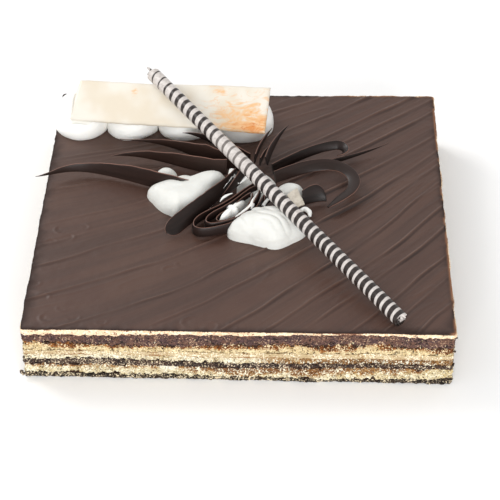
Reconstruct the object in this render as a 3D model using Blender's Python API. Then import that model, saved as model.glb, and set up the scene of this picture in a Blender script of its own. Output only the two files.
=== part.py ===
"""Opera cake: a rectangular layered slab with a dark chocolate glaze, dressed
with a row of piped cream, an ivory chocolate plaque, a striped chocolate
pencil and a spray of dark chocolate blades set in cream.

Frame: metres, +Z up, origin at the centre of the slab's underside,
+X along the long front edge, +Y towards the back."""
import bpy
import bmesh
import math
from mathutils import Vector

MM = 0.001

# ---------------------------------------------------------------- dimensions
LENGTH = 190.0            # front edge, mm
DEPTH = 183.0             # side edge
GAP = 0.30                # clearance kept between touching pieces
LAYERS = [                # name, thickness from the bottom up, colour key
    ("base_chocolate", 2.2, "dark"),
    ("sponge_bottom", 5.8, "sponge"),
    ("ganache_lower", 2.6, "ganache"),
    ("sponge_lower_middle", 3.1, "sponge"),
    ("buttercream_middle", 2.3, "buttercream"),
    ("sponge_upper_middle", 4.9, "sponge_soaked"),
    ("ganache_upper", 5.1, "ganache"),
    ("buttercream_top", 1.9, "buttercream"),
    ("glaze", 1.1, "glaze"),
]
TOP = sum(t for _, t, _ in LAYERS)          # 29.0, crest of the glaze ridges
# the four top corners in plan: the slab was cut by hand, a little out of square
CORNERS = {(0, 0): (-95.0, -92.0), (1, 0): (95.0, -91.2),
           (0, 1): (-95.2, 90.6), (1, 1): (94.4, 92.0)}
RIDGES = 15               # palette-knife strokes in the glaze
RIDGE_DEPTH = 0.55

DOME_TOP = 16.5           # cream row: height above the glaze
DOME_Y = 64.0
DOMES = [                 # centre x, radius, height factor
    (-82.7, 14.4, 1.00), (-57.4, 14.2, 0.98), (-30.6, 14.4, 1.00),
    (-2.8, 15.8, 0.97)]
CREASES = (-69.4, -44.6, -17.4)

PLAQUE_LENGTH, PLAQUE_THICK = 96.0, 2.4
PLAQUE_WIDTHS = (21.4, 24.6)                # left end, right end
PLAQUE_TILT, PLAQUE_YAW = 29.0, -3.9        # degrees
PLAQUE_CENTRE = (-37.6, 58.7, 44.0)

PENCIL_LENGTH, PENCIL_DIA, FILM = 200.0, 7.5, 0.85
PENCIL_NEAR = (71.0, -87.8, TOP + PENCIL_DIA / 2 + GAP)
PENCIL_FAR = (-48.6, 72.4, 54.9)
PENCIL_TURNS = 2.2

# ----------------------------------------------------------------- materials
COLOURS = {
    "glaze": ((0.105, 0.068, 0.055), 0.34),
    "dark": ((0.045, 0.028, 0.022), 0.50),
    "ganache": ((0.075, 0.040, 0.030), 0.60),
    "sponge": ((0.80, 0.60, 0.36), 0.90),
    "sponge_soaked": ((0.62, 0.38, 0.19), 0.85),
    "buttercream": ((0.86, 0.68, 0.47), 0.60),
    "cream": ((0.93, 0.92, 0.89), 0.45),
    "ivory": ((0.93, 0.82, 0.68), 0.35),
    "blade": ((0.030, 0.018, 0.014), 0.28),
    "striped": ((0.55, 0.48, 0.43), 0.35),
}


def material(key):
    mat = bpy.data.materials.get(key)
    if mat is None:
        mat = bpy.data.materials.new(key)
        mat.use_nodes = True
        colour, rough = COLOURS[key]
        bsdf = mat.node_tree.nodes["Principled BSDF"]
        bsdf.inputs["Base Color"].default_value = (*colour, 1.0)
        bsdf.inputs["Roughness"].default_value = rough
        bsdf.inputs["Metallic"].default_value = 0.0
        mat.diffuse_color = (*colour, 1.0)
    return mat


# ------------------------------------------------------------ mesh utilities
def solid(name, verts, faces, key, smooth=40.0, cutter=False):
    """A closed mesh object from points in mm."""
    mesh = bpy.data.meshes.new(name)
    bm = bmesh.new()
    pts = [bm.verts.new((x * MM, y * MM, z * MM)) for x, y, z in verts]
    for f in faces:
        bm.faces.new([pts[i] for i in f])
    bmesh.ops.recalc_face_normals(bm, faces=bm.faces)
    bm.to_mesh(mesh)
    bm.free()
    ob = bpy.data.objects.new(name, mesh)
    bpy.context.scene.collection.objects.link(ob)
    mesh.materials.append(material(key))
    if smooth:
        mesh.shade_smooth()
        mesh.set_sharp_from_angle(angle=math.radians(smooth))
    if cutter:
        ob.hide_render = True
        ob.display_type = 'WIRE'
    return ob


def boolean(ob, other, operation):
    mod = ob.modifiers.new("bool_" + other.name, 'BOOLEAN')
    mod.operation = operation
    mod.solver = 'EXACT'
    mod.object = other


def rings_to_solid(rings, closed_ends=True):
    """Faces that skin equal rings of points, with a cap at each end."""
    n, faces = len(rings[0]), []
    verts = [p for ring in rings for p in ring]
    for i in range(len(rings) - 1):
        for j in range(n):
            a, b = i * n + j, i * n + (j + 1) % n
            faces.append((a, b, b + n, a + n))
    if closed_ends:
        faces.append(tuple(range(n)))
        faces.append(tuple(range((len(rings) - 1) * n, len(rings) * n)))
    return verts, faces


# --------------------------------------------------------------- cake layers
def plan(u, v):
    """Bilinear footprint, u along the front, v towards the back."""
    x = y = 0.0
    for (i, j), (cx, cy) in CORNERS.items():
        w = (u if i else 1 - u) * (v if j else 1 - v)
        x += w * cx
        y += w * cy
    return x, y


def waver(k, x, y):
    """How far the joint above layer k strays from level, mm."""
    calm = 0.35 if k == len(LAYERS) - 2 else 1.0    # level just under the glaze
    return calm * (0.30 * math.sin(x / (17.0 + 3.1 * k) + 1.7 * k)
                   * math.cos(y / (21.0 - 1.3 * k) + 0.9 * k)
                   + 0.12 * math.sin((x + y) / 7.9 + 2.3 * k))


def joint_z(k, x, y):
    """Height of the joint above layer k (k = 0 is the base chocolate)."""
    if k < 0:
        return 0.0
    return sum(t for _, t, _ in LAYERS[:k + 1]) + waver(k, x, y)


def slab(name, k, key, n=8, flat_top=None):
    lo_gap = GAP / 2 if k else 0.0
    verts, faces = [], []
    for level in (0, 1):
        for j in range(n + 1):
            for i in range(n + 1):
                x, y = plan(i / n, j / n)
                if level == 0:
                    z = joint_z(k - 1, x, y) + lo_gap
                elif flat_top is not None:
                    z = flat_top
                else:
                    z = joint_z(k, x, y) - GAP / 2
                verts.append((x, y, z))
    m = n + 1
    top = m * m
    if k == 0:
        rim = ([i for i in range(m)] + [j * m + n for j in range(1, m)]
               + [n * m + i for i in range(n - 1, -1, -1)]
               + [j * m for j in range(n - 1, 0, -1)])
        faces.append(tuple(rim))            # one flat face to stand on
    for j in range(n):
        for i in range(n):
            a = j * m + i
            if k:
                faces.append((a, a + m, a + m + 1, a + 1))
            faces.append((top + a, top + a + 1, top + a + m + 1, top + a + m))
    for i in range(n):
        for a, b in ((i, i + 1), (n * m + i + 1, n * m + i),
                     ((i + 1) * m, i * m), (i * m + n, (i + 1) * m + n)):
            faces.append((a, b, top + b, top + a))
    if k == 0:                              # drop inner points of the base
        used = sorted({i for f in faces for i in f})
        index = {old: new for new, old in enumerate(used)}
        verts = [verts[i] for i in used]
        faces = [tuple(index[i] for i in f) for f in faces]
    return solid(name, verts, faces, key)


def ridge_block():
    """A block whose top is combed by a palette knife: strokes that fan from
    26 degrees at the back left to 44 degrees at the front right."""
    def rail(c):
        # where stroke line c (0..1) crosses x = -115 and x = +115
        return (-312.0 + c * 420.0, -86.0 + c * 300.0)

    cols = []
    for k in range(RIDGES):
        for part, depth in ((0.0, 0.0), (0.22, 1.0), (0.60, 0.45)):
            swing = 0.16 * math.sin(2.4 * k + 5.0 * part)
            c = (k + part + swing * (part > 0)) / RIDGES
            strength = 0.55 + 0.45 * math.sin(1.9 * k + 0.6) ** 2
            cols.append((c, RIDGE_DEPTH * depth * strength))
    cols.append((1.0, 0.0))
    rings = []
    for c, depth in cols:
        yl, yr = rail(c)
        rings.append([(-115.0, yl, 20.0), (-115.0, yl, TOP - depth),
                      (115.0, yr, TOP - depth * 1.0), (115.0, yr, 20.0)])
    verts, faces = rings_to_solid(rings)
    return solid("ridge_cutter", verts, faces, "glaze", 0, cutter=True)


# --------------------------------------------------------------- piped cream
def dollop(name, centre, radius, height, base=TOP + GAP, n_ring=24, steps=5,
           power=2.0, grow=0.0, tip=(0.0, 0.0)):
    """A soft mound. radius(theta) gives its outline, height(theta, q) its
    surface above the base at the fraction q of the way out."""
    cx, cy = centre
    verts, faces = [(cx + tip[0], cy + tip[1], base + height(0.0, 0.0) + grow)], []
    for s in range(1, steps + 1):
        q = math.sin(0.5 * math.pi * s / steps)
        for i in range(n_ring):
            th = 2 * math.pi * i / n_ring
            r = (radius(th) + grow) * q
            k = 1.0 - q
            verts.append((cx + r * math.cos(th) + tip[0] * k,
                          cy + r * math.sin(th) + tip[1] * k,
                          base + height(th, q) + (grow if s < steps else 0)))
    for i in range(n_ring):
        faces.append((0, 1 + i, 1 + (i + 1) % n_ring))
    for s in range(steps - 1):
        for i in range(n_ring):
            a, b = 1 + s * n_ring + i, 1 + s * n_ring + (i + 1) % n_ring
            faces.append((a, a + n_ring, b + n_ring, b))
    rim = [1 + (steps - 1) * n_ring + i for i in range(n_ring)]
    foot = len(verts)
    for i in rim:                            # short foot under the outline
        x, y, z = verts[i]
        verts.append((x, y, base))
    low = [foot + i for i in range(n_ring)]
    for i in range(n_ring):
        j = (i + 1) % n_ring
        faces.append((rim[i], low[i], low[j], rim[j]))
    faces.append(tuple(reversed(low)))
    return solid(name, verts, faces, "cream", 55.0)


def row_dome(name, index):
    """One mound of the row, flattened where it meets its neighbours."""
    cx, r0, hf = DOMES[index]
    left = CREASES[index - 1] + GAP / 2 if index > 0 else -1e9
    right = CREASES[index] - GAP / 2 if index < len(CREASES) else 1e9

    def radius(th):
        r = r0 * (1 + 0.03 * math.sin(3 * th + index))
        c = math.cos(th)
        if c > 1e-6:
            r = min(r, (right - cx) / c)
        if c < -1e-6:
            r = min(r, (left - cx) / c)
        return r

    def height(th, q):
        d = radius(th) * q / (r0 * 1.04)
        return 1.0 + (DOME_TOP * hf - 1.0) * math.sqrt(max(0.0, 1.0 - d ** 2.3))
    return dollop(name, (cx, DOME_Y), radius, height, n_ring=24, steps=5)


def lobe(th, at, width):
    """1 in the direction `at` (degrees), fading over `width` degrees."""
    d = (math.degrees(th) - at + 180.0) % 360.0 - 180.0
    return math.exp(-(d / width) ** 2)


# ---------------------------------------------------------- chocolate ribbons
def bezier(p0, p1, p2, p3, t):
    s = 1.0 - t
    return tuple(s ** 3 * a + 3 * s * s * t * b + 3 * s * t * t * c + t ** 3 * d
                 for a, b, c, d in zip(p0, p1, p2, p3))


def bowed(root, tip, bows, n, rounded=False):
    """A curve in plan from root to tip: two (fraction along, offset) bows.
    A rounded end takes its rings closer together."""
    dx, dy = tip[0] - root[0], tip[1] - root[1]
    nx, ny = -dy / math.hypot(dx, dy), dx / math.hypot(dx, dy)
    ctrl = [(root[0] + dx * f + nx * o, root[1] + dy * f + ny * o) for f, o in bows]
    at = [math.sin(0.5 * math.pi * i / n) if rounded else i / n for i in range(n + 1)]
    return [bezier(root, ctrl[0], ctrl[1], tip, t) for t in at]


def arc(start, heading, radius, sweep, n):
    """n further points of a circular arc that leaves start at `heading`."""
    x, y = start
    side = 1.0 if sweep > 0 else -1.0
    h = math.radians(heading)
    cx, cy = x - side * radius * math.sin(h), y + side * radius * math.cos(h)
    out = []
    for i in range(1, n + 1):
        a = h + math.radians(sweep) * i / n
        out.append((cx + side * radius * math.sin(a),
                    cy - side * radius * math.cos(a)))
    return out


def straight(path, length, n):
    """n further points straight on from the end of a path."""
    (ax, ay), (bx, by) = path[-2], path[-1]
    d = math.hypot(bx - ax, by - ay)
    return [(bx + (bx - ax) / d * length * i / n, by + (by - ay) / d * length * i / n)
            for i in range(1, n + 1)]


def run_in(start, end, n):
    """Points of a straight lead from start up to, but not including, end."""
    return [(start[0] + (end[0] - start[0]) * i / n, start[1] + (end[1] - start[1]) * i / n)
            for i in range(n)]


def ribbon(name, path, z, width, lean, thick=1.1, anchor=0.0, grow=0.0, lift=None):
    """A strip of set chocolate along a plan path. z(s), width(s) and lean(s)
    are functions of the fraction s along it; lean 0 stands on edge and 90
    lies flat towards the left of the path; anchor 0 puts the path on the
    lower edge and 0.5 on the middle of the strip; lift(s) raises both edges
    in the strip's own plane."""
    m = len(path)
    dist = [0.0]
    for a, b in zip(path, path[1:]):
        dist.append(dist[-1] + math.hypot(b[0] - a[0], b[1] - a[1]))
    rings = []
    for i, (x, y) in enumerate(path):
        s = dist[i] / dist[-1]
        a, b = path[max(i - 1, 0)], path[min(i + 1, m - 1)]
        t = Vector((b[0] - a[0], b[1] - a[1], 0.0)).normalized()
        left = Vector((-t.y, t.x, 0.0))
        phi = math.radians(lean(s))
        up = Vector((0, 0, math.cos(phi))) + left * math.sin(phi)
        out = left * math.cos(phi) - Vector((0, 0, math.sin(phi)))
        w = max(width(s), 0.5)
        h = 0.5 * thick * min(1.0, 0.45 + 0.55 * w / 4.0) + grow
        p = Vector((x, y, z(s))) - up * (anchor * w)
        if lift:
            p += up * lift(s)
        if grow and i in (0, m - 1):
            p += t * (grow if i else -grow)
        lo, hi = -grow, w + grow
        mid = 0.5 * (lo + hi)
        bulge = 0.15 * h
        rings.append([tuple(p + up * lo - out * h * 0.8), tuple(p + up * mid - out * (h + bulge)),
                      tuple(p + up * hi - out * h * 0.6), tuple(p + up * hi + out * h * 0.6),
                      tuple(p + up * mid + out * (h - bulge)), tuple(p + up * lo + out * h * 0.8)])
    verts, faces = rings_to_solid(rings)
    return solid(name, verts, faces, "blade", 50.0, cutter=grow > 0)


def taper(full, p, q, cap=1e9):
    """A blade's width: full at the root, closing to a point at the tip."""
    return lambda s: min(cap, full * max(0.0, 1.0 - s ** p) ** q)


def spoon(full, root_part, tip_round):
    """A leaf's width: narrow at the root, full, and rounded at the end."""
    def width(s):
        grow_in = root_part + (1.0 - root_part) * math.sin(0.5 * math.pi * min(1.0, s / 0.55))
        end = math.sqrt(max(0.0, 1.0 - (max(0.0, s - 1 + tip_round) / tip_round) ** 2))
        return full * grow_in * end
    return width


def spoon_lift(full, root_part, tip_round):
    """Half of what the rounded end takes off the width, so that the end is
    round at both corners."""
    width = spoon(full, root_part, tip_round)
    grow = spoon(full, root_part, 1e-6)
    return lambda s: 0.5 * (grow(min(s, 1 - 1e-5)) - width(s))


def line(a, b, p=1.0):
    return lambda s: a + (b - a) * s ** p


def rest_then_rise(z0, z1, z2, p=3.0):
    """Down from the cream at z0 to the glaze at z1, then up to the tip."""
    return lambda s: z1 + (z0 - z1) * (1 - s) ** 6 + (z2 - z1) * s ** p


def petal(root, heading, length, breadth, curl, z_root, z_end, width, lean, n=20):
    """A teardrop loop: out from the root, round the end and back. `curl`
    swings the end of the loop sideways."""
    h = math.radians(heading)
    ux, uy = math.cos(h), math.sin(h)
    pts = []
    for i in range(n + 1):
        a = math.radians(14.0) + (2 * math.pi - math.radians(28.0)) * i / n
        along = 0.5 * length * (1 - math.cos(a))
        across = (-0.5 * breadth * math.sin(a) * (0.72 + 0.28 * math.sin(0.5 * a) ** 2)
                  + curl * math.sin(math.pi * along / length) ** 2)
        pts.append((root[0] + ux * along - uy * across,
                    root[1] + uy * along + ux * across))
    return dict(path=pts, z=lambda s: z_root + (z_end - z_root) * math.sin(math.pi * s) ** 0.7,
                width=lambda s: width * (0.7 + 0.3 * math.sin(math.pi * s)),
                lean=lambda s: lean, thick=1.0)


REST = TOP + GAP
N = 11
BLADES = {
    # five blades that sweep to the left
    "blade_left_1": dict(path=run_in((-22.0, 4.4), (-30.0, 3.8), 2)
                         + bowed((-30.0, 3.8), (-99.5, 9.5), ((0.78, -21.0), (0.78, -12.0)), N),
                         z=lambda s: REST + 1.6 * (1 - s) ** 8 + 6.3 * s ** 4,
                         width=lambda s: (0.66 + 0.34 * min(1.0, s / 0.1)) * taper(11.5, 1.6, 1.0, 9.8)(s),
                         lean=lambda s: -6.0 - 6.0 * s),
    "blade_left_2": dict(path=bowed((-8.6, 18.0), (-65.3, 29.8), ((0.30, 0.2), (0.72, -11.8)), N),
                         z=rest_then_rise(REST + 2.8, REST + 0.6, 33.6, 3), width=taper(8.8, 1.8, 1.0),
                         lean=lambda s: -8.0),
    "blade_left_3": dict(path=bowed((-1.0, 20.6), (-62.2, 44.7), ((0.45, -2.2), (0.60, -14.4)), N),
                         z=rest_then_rise(REST + 2.9, REST, 33.0, 3), width=taper(15.0, 1.2, 1.5, 9.6),
                         lean=lambda s: -8.0),
    "blade_left_4": dict(path=bowed((2.0, 26.4), (-31.2, 45.2), ((0.45, -2.4), (0.85, -4.5)), 8),
                         z=line(32.6, 37.0, 1.5), width=taper(6.0, 2.0, 1.0),
                         lean=lambda s: -8.0),
    "blade_left_5": dict(path=bowed((1.0, 23.8), (-21.0, 36.4), ((0.4, -1.6), (0.7, -1.8)), 6),
                         z=line(33.6, 34.2), width=taper(3.0, 1.5, 1.0),
                         lean=lambda s: -18.0),
    # three spikes that point to the back
    "blade_back_1": dict(path=bowed((4.6, 27.6), (12.6, 51.5), ((0.33, 1.0), (0.67, 0.9)), 7),
                         z=line(31.9, 36.0), width=taper(6.0, 1.6, 1.0), lean=lambda s: -4.0),
    "blade_back_2": dict(path=bowed((7.2, 25.6), (11.6, 38.6), ((0.33, 0.3), (0.67, 0.3)), 5),
                         z=line(32.0, 34.6), width=taper(5.0, 1.6, 1.0), lean=lambda s: -4.0),
    "blade_back_3": dict(path=bowed((11.0, 26.0), (20.7, 54.6), ((0.33, 1.4), (0.67, 1.5)), 7),
                         z=line(32.0, 36.0), width=taper(5.2, 1.7, 1.0), lean=lambda s: 14.0),
    # the right-hand group: a hooked blade, a long spike, a broad open loop
    "blade_right_hook": dict(path=(lambda p: p + arc(p[-1], 0.0, 3.9, -176.0, 8))(
                                 bowed((13.6, 21.6), (44.4, 39.8), ((0.35, 2.4), (0.72, 3.6)), 9)),
                             z=lambda s: 31.9 + 1.6 * min(1.0, s * 1.6) + 0.8 * s ** 4,
                             width=lambda s: (5.6 - 1.4 * s) * min(1.0, 0.3 + 8.0 * (1 - s)),
                             lean=lambda s: 14.0 + 40.0 * s ** 2, anchor=0.3),
    "blade_right_spike": dict(path=bowed((28.0, 24.4), (69.8, 44.9), ((0.35, -0.6), (0.7, -1.2)), N),
                              z=lambda s: 29.7 + 2.9 * s ** 2.5, width=taper(3.4, 1.6, 1.0),
                              lean=lambda s: 8.0),
    "blade_right_loop": dict(path=(lambda p: p + straight(p, 13.0, 4))(
                                 (lambda p: p + arc(p[-1], 12.0, 12.2, -147.0, 10))(
                                     bowed((14.6, 11.0), (37.8, 22.8), ((0.4, 1.6), (0.72, 2.2)), 7))),
                             z=lambda s: 36.2 - 1.6 * s - 2.0 * s ** 2,
                             width=lambda s: (6.4 - 1.0 * s) * min(1.0, 0.3 + 6.0 * (1 - s)),
                             lean=lambda s: 16.0 + 60.0 * min(1.0, s * 2.0) ** 1.5, anchor=0.5),
    "blade_right_leaf": dict(path=bowed((28.6, -2.4), (39.4, 0.8), ((0.35, 0.4), (0.7, 0.8)), 9, True),
                             z=lambda s: 29.9, width=spoon(9.0, 0.80, 0.42),
                             lean=lambda s: 22.0 + 10.0 * s),
    # the front-left group: a broad leaf, a narrow one and nested petals
    "blade_front_leaf": dict(path=bowed((-3.4, 15.0), (-32.0, -29.8), ((0.30, 3.6), (0.70, 0.6)), 13, True),
                             z=lambda s: 32.8 - 3.2 * s, width=spoon(8.6, 0.66, 0.12),
                             lift=spoon_lift(8.6, 0.66, 0.12), lean=lambda s: -10.0 - 42.0 * s * s),
    "blade_front_narrow": dict(path=bowed((1.6, 15.6), (-10.2, -0.6), ((0.35, 1.6), (0.7, 1.6)), 8),
                               z=lambda s: 33.2, width=taper(7.4, 1.8, 0.9),
                               lean=lambda s: -10.0),
    "petal_outer": petal((11.6, 6.8), 224.5, 47.0, 18.0, 3.6, 34.6, 29.7, 5.2, 6.0, 24),
    "petal_middle": petal((7.8, 2.2), 226.0, 35.0, 12.8, 2.6, 34.9, 29.9, 5.2, 6.0, 20),
    "petal_inner": petal((4.2, -2.4), 228.0, 24.0, 8.6, 1.6, 34.4, 29.8, 4.2, 6.0, 16),
    "petal_small": dict(path=bowed((15.2, -1.2), (10.6, -6.6), ((0.3, -0.6), (0.7, -0.8)), 7, True),
                        z=line(32.4, 32.0), width=spoon(5.4, 0.6, 0.35), lean=lambda s: -16.0),
}


# -------------------------------------------------------------------- plaque
def plaque(name, grow=0.0, rise=0.0):
    """A thin chocolate bar, one end cut on a slant, lying tilted on the row.
    As a cutter it is grown, and its upper face is lifted by `rise`."""
    tilt, yaw = math.radians(PLAQUE_TILT), math.radians(PLAQUE_YAW)
    ex = Vector((math.cos(yaw), math.sin(yaw), 0.0))
    ey = Vector((-math.sin(yaw) * math.cos(tilt), math.cos(yaw) * math.cos(tilt), math.sin(tilt)))
    ez = ex.cross(ey)
    c = Vector(PLAQUE_CENTRE)
    hl, ht = PLAQUE_LENGTH / 2 + grow, PLAQUE_THICK / 2 + grow
    slant, n = 1.6, 10
    outline = []                             # (along, half-width, side)
    for side in (-1, 1):
        for i in range(n + 1):
            u = i / n if side < 0 else 1 - i / n
            hw = 0.5 * (PLAQUE_WIDTHS[0] + (PLAQUE_WIDTHS[1] - PLAQUE_WIDTHS[0]) * u) + grow
            a = -hl + 2 * hl * u + side * slant * (1 - u) + side * 0.4 * u
            wob = 0.0 if grow else 0.22 * math.sin(9.0 * u + side)
            outline.append((a, side * (hw + wob)))
    if grow:
        levels = ((-ht, 0.0), (ht + rise, 0.0))
    else:
        bev = 0.35
        levels = ((-ht, bev), (-ht + bev, 0.0), (ht - bev, 0.0), (ht, bev))
    rings = []
    for dz, inset in levels:
        rings.append([tuple(c + ex * (a * (1 - inset / hl)) + ey * (b * (1 - inset / 11.5)) + ez * dz)
                      for a, b in outline])
    verts, faces = rings_to_solid(rings)
    return solid(name, verts, faces, "ivory", 30.0, cutter=grow > 0)


# -------------------------------------------------------------------- pencil
def pencil(name):
    """A film of striped chocolate rolled up into a long thin scroll."""
    near, far = Vector(PENCIL_NEAR), Vector(PENCIL_FAR)
    axis = (far - near).normalized()
    side = axis.cross(Vector((0, 0, 1))).normalized()
    up = side.cross(axis)
    pitch = FILM + 0.30
    per_turn = 16
    count = int(PENCIL_TURNS * per_turn)
    outer, inner = [], []
    for i in range(count + 1):
        turn = i / per_turn
        a = 2 * math.pi * turn + 0.7
        r = PENCIL_DIA / 2 - pitch * turn
        for store, rr in ((outer, r), (inner, r - FILM)):
            store.append((rr * math.cos(a), rr * math.sin(a), turn / PENCIL_TURNS))
    profile = outer + inner[::-1]
    rings = []
    for end in (0, 1):
        ring = []
        for a, b, depth in profile:
            # the inner turns stand a little proud at the far end
            s = (0.8 * depth) if end == 0 else PENCIL_LENGTH - 2.0 + 9.0 * max(0.0, depth - 0.42)
            ring.append(tuple(near + axis * s + side * a + up * b))
        rings.append(ring)
    verts, faces = rings_to_solid(rings, closed_ends=False)
    n, k = len(profile), len(outer)
    for base, flip in ((0, False), (n, True)):
        for i in range(k - 1):               # end faces follow the spiral
            f = (base + i, base + i + 1, base + n - 2 - i, base + n - 1 - i)
            faces.append(f[::-1] if flip else f)
    return solid(name, verts, faces, "striped", 40.0)


def pencil_cutter(grow, sides=16):
    """A plain rod round the pencil, for the cream that it lies in."""
    near, far = Vector(PENCIL_NEAR), Vector(PENCIL_FAR)
    axis = (far - near).normalized()
    side = axis.cross(Vector((0, 0, 1))).normalized()
    up = side.cross(axis)
    r = (PENCIL_DIA / 2 + grow) / math.cos(math.pi / sides)
    rings = [[tuple(near + axis * s + side * r * math.cos(2 * math.pi * i / sides)
                    + up * r * math.sin(2 * math.pi * i / sides)) for i in range(sides)]
             for s in (20.0, 120.0)]
    verts, faces = rings_to_solid(rings)
    return solid("pencil_cutter", verts, faces, "striped", 0, cutter=True)


# ---------------------------------------------------------- spoonfuls of cream
def left_main(th):
    return (11.8 + 2.6 * lobe(th, 322.0, 40.0) + 12.6 * lobe(th, 33.0, 16.0) + 3.5 * lobe(th, 5.0, 24.0)
            + 2.6 * lobe(th, 75.0, 20.0) + 4.2 * lobe(th, 162.0, 24.0) + 1.8 * lobe(th, 268.0, 7.0))


def left_radius(th):
    return left_main(th) + 7.2 * lobe(th, 117.0, 20.0)


def left_height(th, q):
    """The main spoonful, and a small one behind it at the back left."""
    r = left_radius(th) * q
    x, y = r * math.cos(th), r * math.sin(th)
    body = (8.3 + 0.085 * max(-14.0, min(16.0, x)) + 0.05 * max(0.0, y)) \
        * math.sqrt(max(0.0, 1 - min(1.0, r / left_main(th)) ** (3.0 + 3.0 * lobe(th, 33.0, 24.0))))
    d = math.hypot(x + 7.0, y - 12.8) / 6.0
    small = 8.1 * math.sqrt(max(0.0, 1 - min(1.0, d) ** 2.4))
    return 0.8 + (body ** 6 + small ** 6) ** (1 / 6)


# --------------------------------------------------------------------- build
CUT_BY = ("blade_left_1", "blade_left_2", "blade_front_leaf",      # cream_left
          "petal_outer", "petal_middle", "petal_inner", "petal_small")  # cream_front


def main():
    for ob in list(bpy.data.objects):
        bpy.data.objects.remove(ob, do_unlink=True)

    for k, (name, _, key) in enumerate(LAYERS):
        if name == "glaze":
            ob = slab(name, k, key, flat_top=TOP + 3.0)
            boolean(ob, ridge_block(), 'INTERSECT')
        else:
            slab(name, k, key)

    bar_cut = plaque("plaque_cutter", GAP, 14.0)
    for i in range(len(DOMES)):
        boolean(row_dome("cream_row_%d" % (i + 1), i), bar_cut, 'DIFFERENCE')
    plaque("plaque")
    pencil("striped_pencil")

    cutters = {}
    for name, spec in BLADES.items():
        ribbon(name, **spec)
        if name in CUT_BY:
            cutters[name] = ribbon("cut_" + name, grow=GAP + 0.05, **spec)
    rod = pencil_cutter(GAP + 0.05)

    # cream set under and round the blades
    left = dollop("cream_left", (-30.5, 1.0), left_radius, left_height, n_ring=40, steps=7)
    for n in CUT_BY[:3]:
        boolean(left, cutters[n], 'DIFFERENCE')
    front = dollop("cream_front", (12.2, -21.8),
                   lambda th: (11.6 + 7.0 * lobe(th, 10.0, 42.0) + 7.6 * lobe(th, 190.0, 24.0)
                               + 2.2 * lobe(th, 160.0, 10.0) + 1.6 * lobe(th, 130.0, 12.0)
                               + 1.6 * lobe(th, 292.0, 26.0)),
                   lambda th, q: 0.6 + 10.9 * math.sqrt(max(0.0, 1 - q ** 2.4)), n_ring=32, steps=6)
    for n in CUT_BY[3:]:
        boolean(front, cutters[n], 'DIFFERENCE')
    boolean(front, rod, 'DIFFERENCE')
    dollop("cream_centre", (5.0, 9.0),
           lambda th: (11.6 + 2.4 * lobe(th, 80.0, 40.0) - 3.0 * lobe(th, 335.0, 50.0)
                       - 3.4 * lobe(th, 172.0, 38.0)
                       + 0.4 * math.sin(5 * th)),
           lambda th, q: 0.6 + 1.6 * math.sqrt(max(0.0, 1 - q ** 3.0)), steps=4)
    dollop("cream_inner", (-4.0, -12.1),
           lambda th: 1.5 + 6.6 * lobe(th, 229.0, 18.0) + 6.4 * lobe(th, 49.0, 18.0)
           + 0.4 * lobe(th, 139.0, 50.0) + 0.7 * lobe(th, 319.0, 50.0),
           lambda th, q: 0.6 + 4.4 * math.sqrt(max(0.0, 1 - q ** 4.0)), n_ring=24, steps=4)
    dollop("cream_right", (21.6, 5.6),
           lambda th: (5.2 + 1.8 * lobe(th, 10.0, 40.0) + 1.4 * lobe(th, 190.0, 40.0)
                       + 1.6 * lobe(th, 290.0, 40.0)),
           lambda th, q: 0.6 + 5.6 * math.sqrt(max(0.0, 1 - q ** 3.0)), n_ring=24, steps=5)


main()
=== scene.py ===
"""Looks of the opera cake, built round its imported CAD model.

Every piece below stands for one CAD node and repeats that node's numbers, in
mm, with the finer surface the CAD leaves out: crumb on the cut faces, knife
strokes in the glaze, soft piped cream, marbling, stripes and thin edges."""
import bpy
import math
import numpy as np
from mathutils import Matrix, Vector

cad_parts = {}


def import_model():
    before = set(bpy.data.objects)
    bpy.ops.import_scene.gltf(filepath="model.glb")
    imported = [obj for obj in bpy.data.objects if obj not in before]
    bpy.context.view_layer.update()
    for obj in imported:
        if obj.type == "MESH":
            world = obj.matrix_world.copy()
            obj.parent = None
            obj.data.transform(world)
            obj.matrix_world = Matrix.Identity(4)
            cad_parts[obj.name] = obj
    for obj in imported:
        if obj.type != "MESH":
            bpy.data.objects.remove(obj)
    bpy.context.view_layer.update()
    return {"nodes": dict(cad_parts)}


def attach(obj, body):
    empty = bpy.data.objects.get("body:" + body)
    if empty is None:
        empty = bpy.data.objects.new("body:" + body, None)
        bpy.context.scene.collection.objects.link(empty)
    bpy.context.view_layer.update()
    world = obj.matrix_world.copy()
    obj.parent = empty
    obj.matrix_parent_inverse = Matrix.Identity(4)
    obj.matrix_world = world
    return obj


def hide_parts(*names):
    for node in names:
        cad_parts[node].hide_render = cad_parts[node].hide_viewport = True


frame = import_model()
NODES = frame["nodes"]
MM = 0.001
SCENE = bpy.context.scene

# ------------------------------------------------------------------ dimensions
GAP = 0.30
TOP = 29.0
CORNERS = {(0, 0): (-95.0, -92.0), (1, 0): (95.0, -91.2),
           (0, 1): (-95.2, 90.6), (1, 1): (94.4, 92.0)}


# ------------------------------------------------------------------ noise
def _hash(ix, iy, iz, seed):
    h = (ix.astype(np.uint32) * np.uint32(374761393)
         + iy.astype(np.uint32) * np.uint32(668265263)
         + iz.astype(np.uint32) * np.uint32(2246822519)
         + np.uint32((seed * 3266489917) & 0xFFFFFFFF))
    h ^= h >> np.uint32(15)
    h *= np.uint32(2246822519)
    h ^= h >> np.uint32(13)
    h *= np.uint32(3266489917)
    h ^= h >> np.uint32(16)
    return h


def rnd(ix, iy, iz, seed):
    return _hash(ix, iy, iz, seed).astype(np.float64) / 4294967295.0


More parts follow.
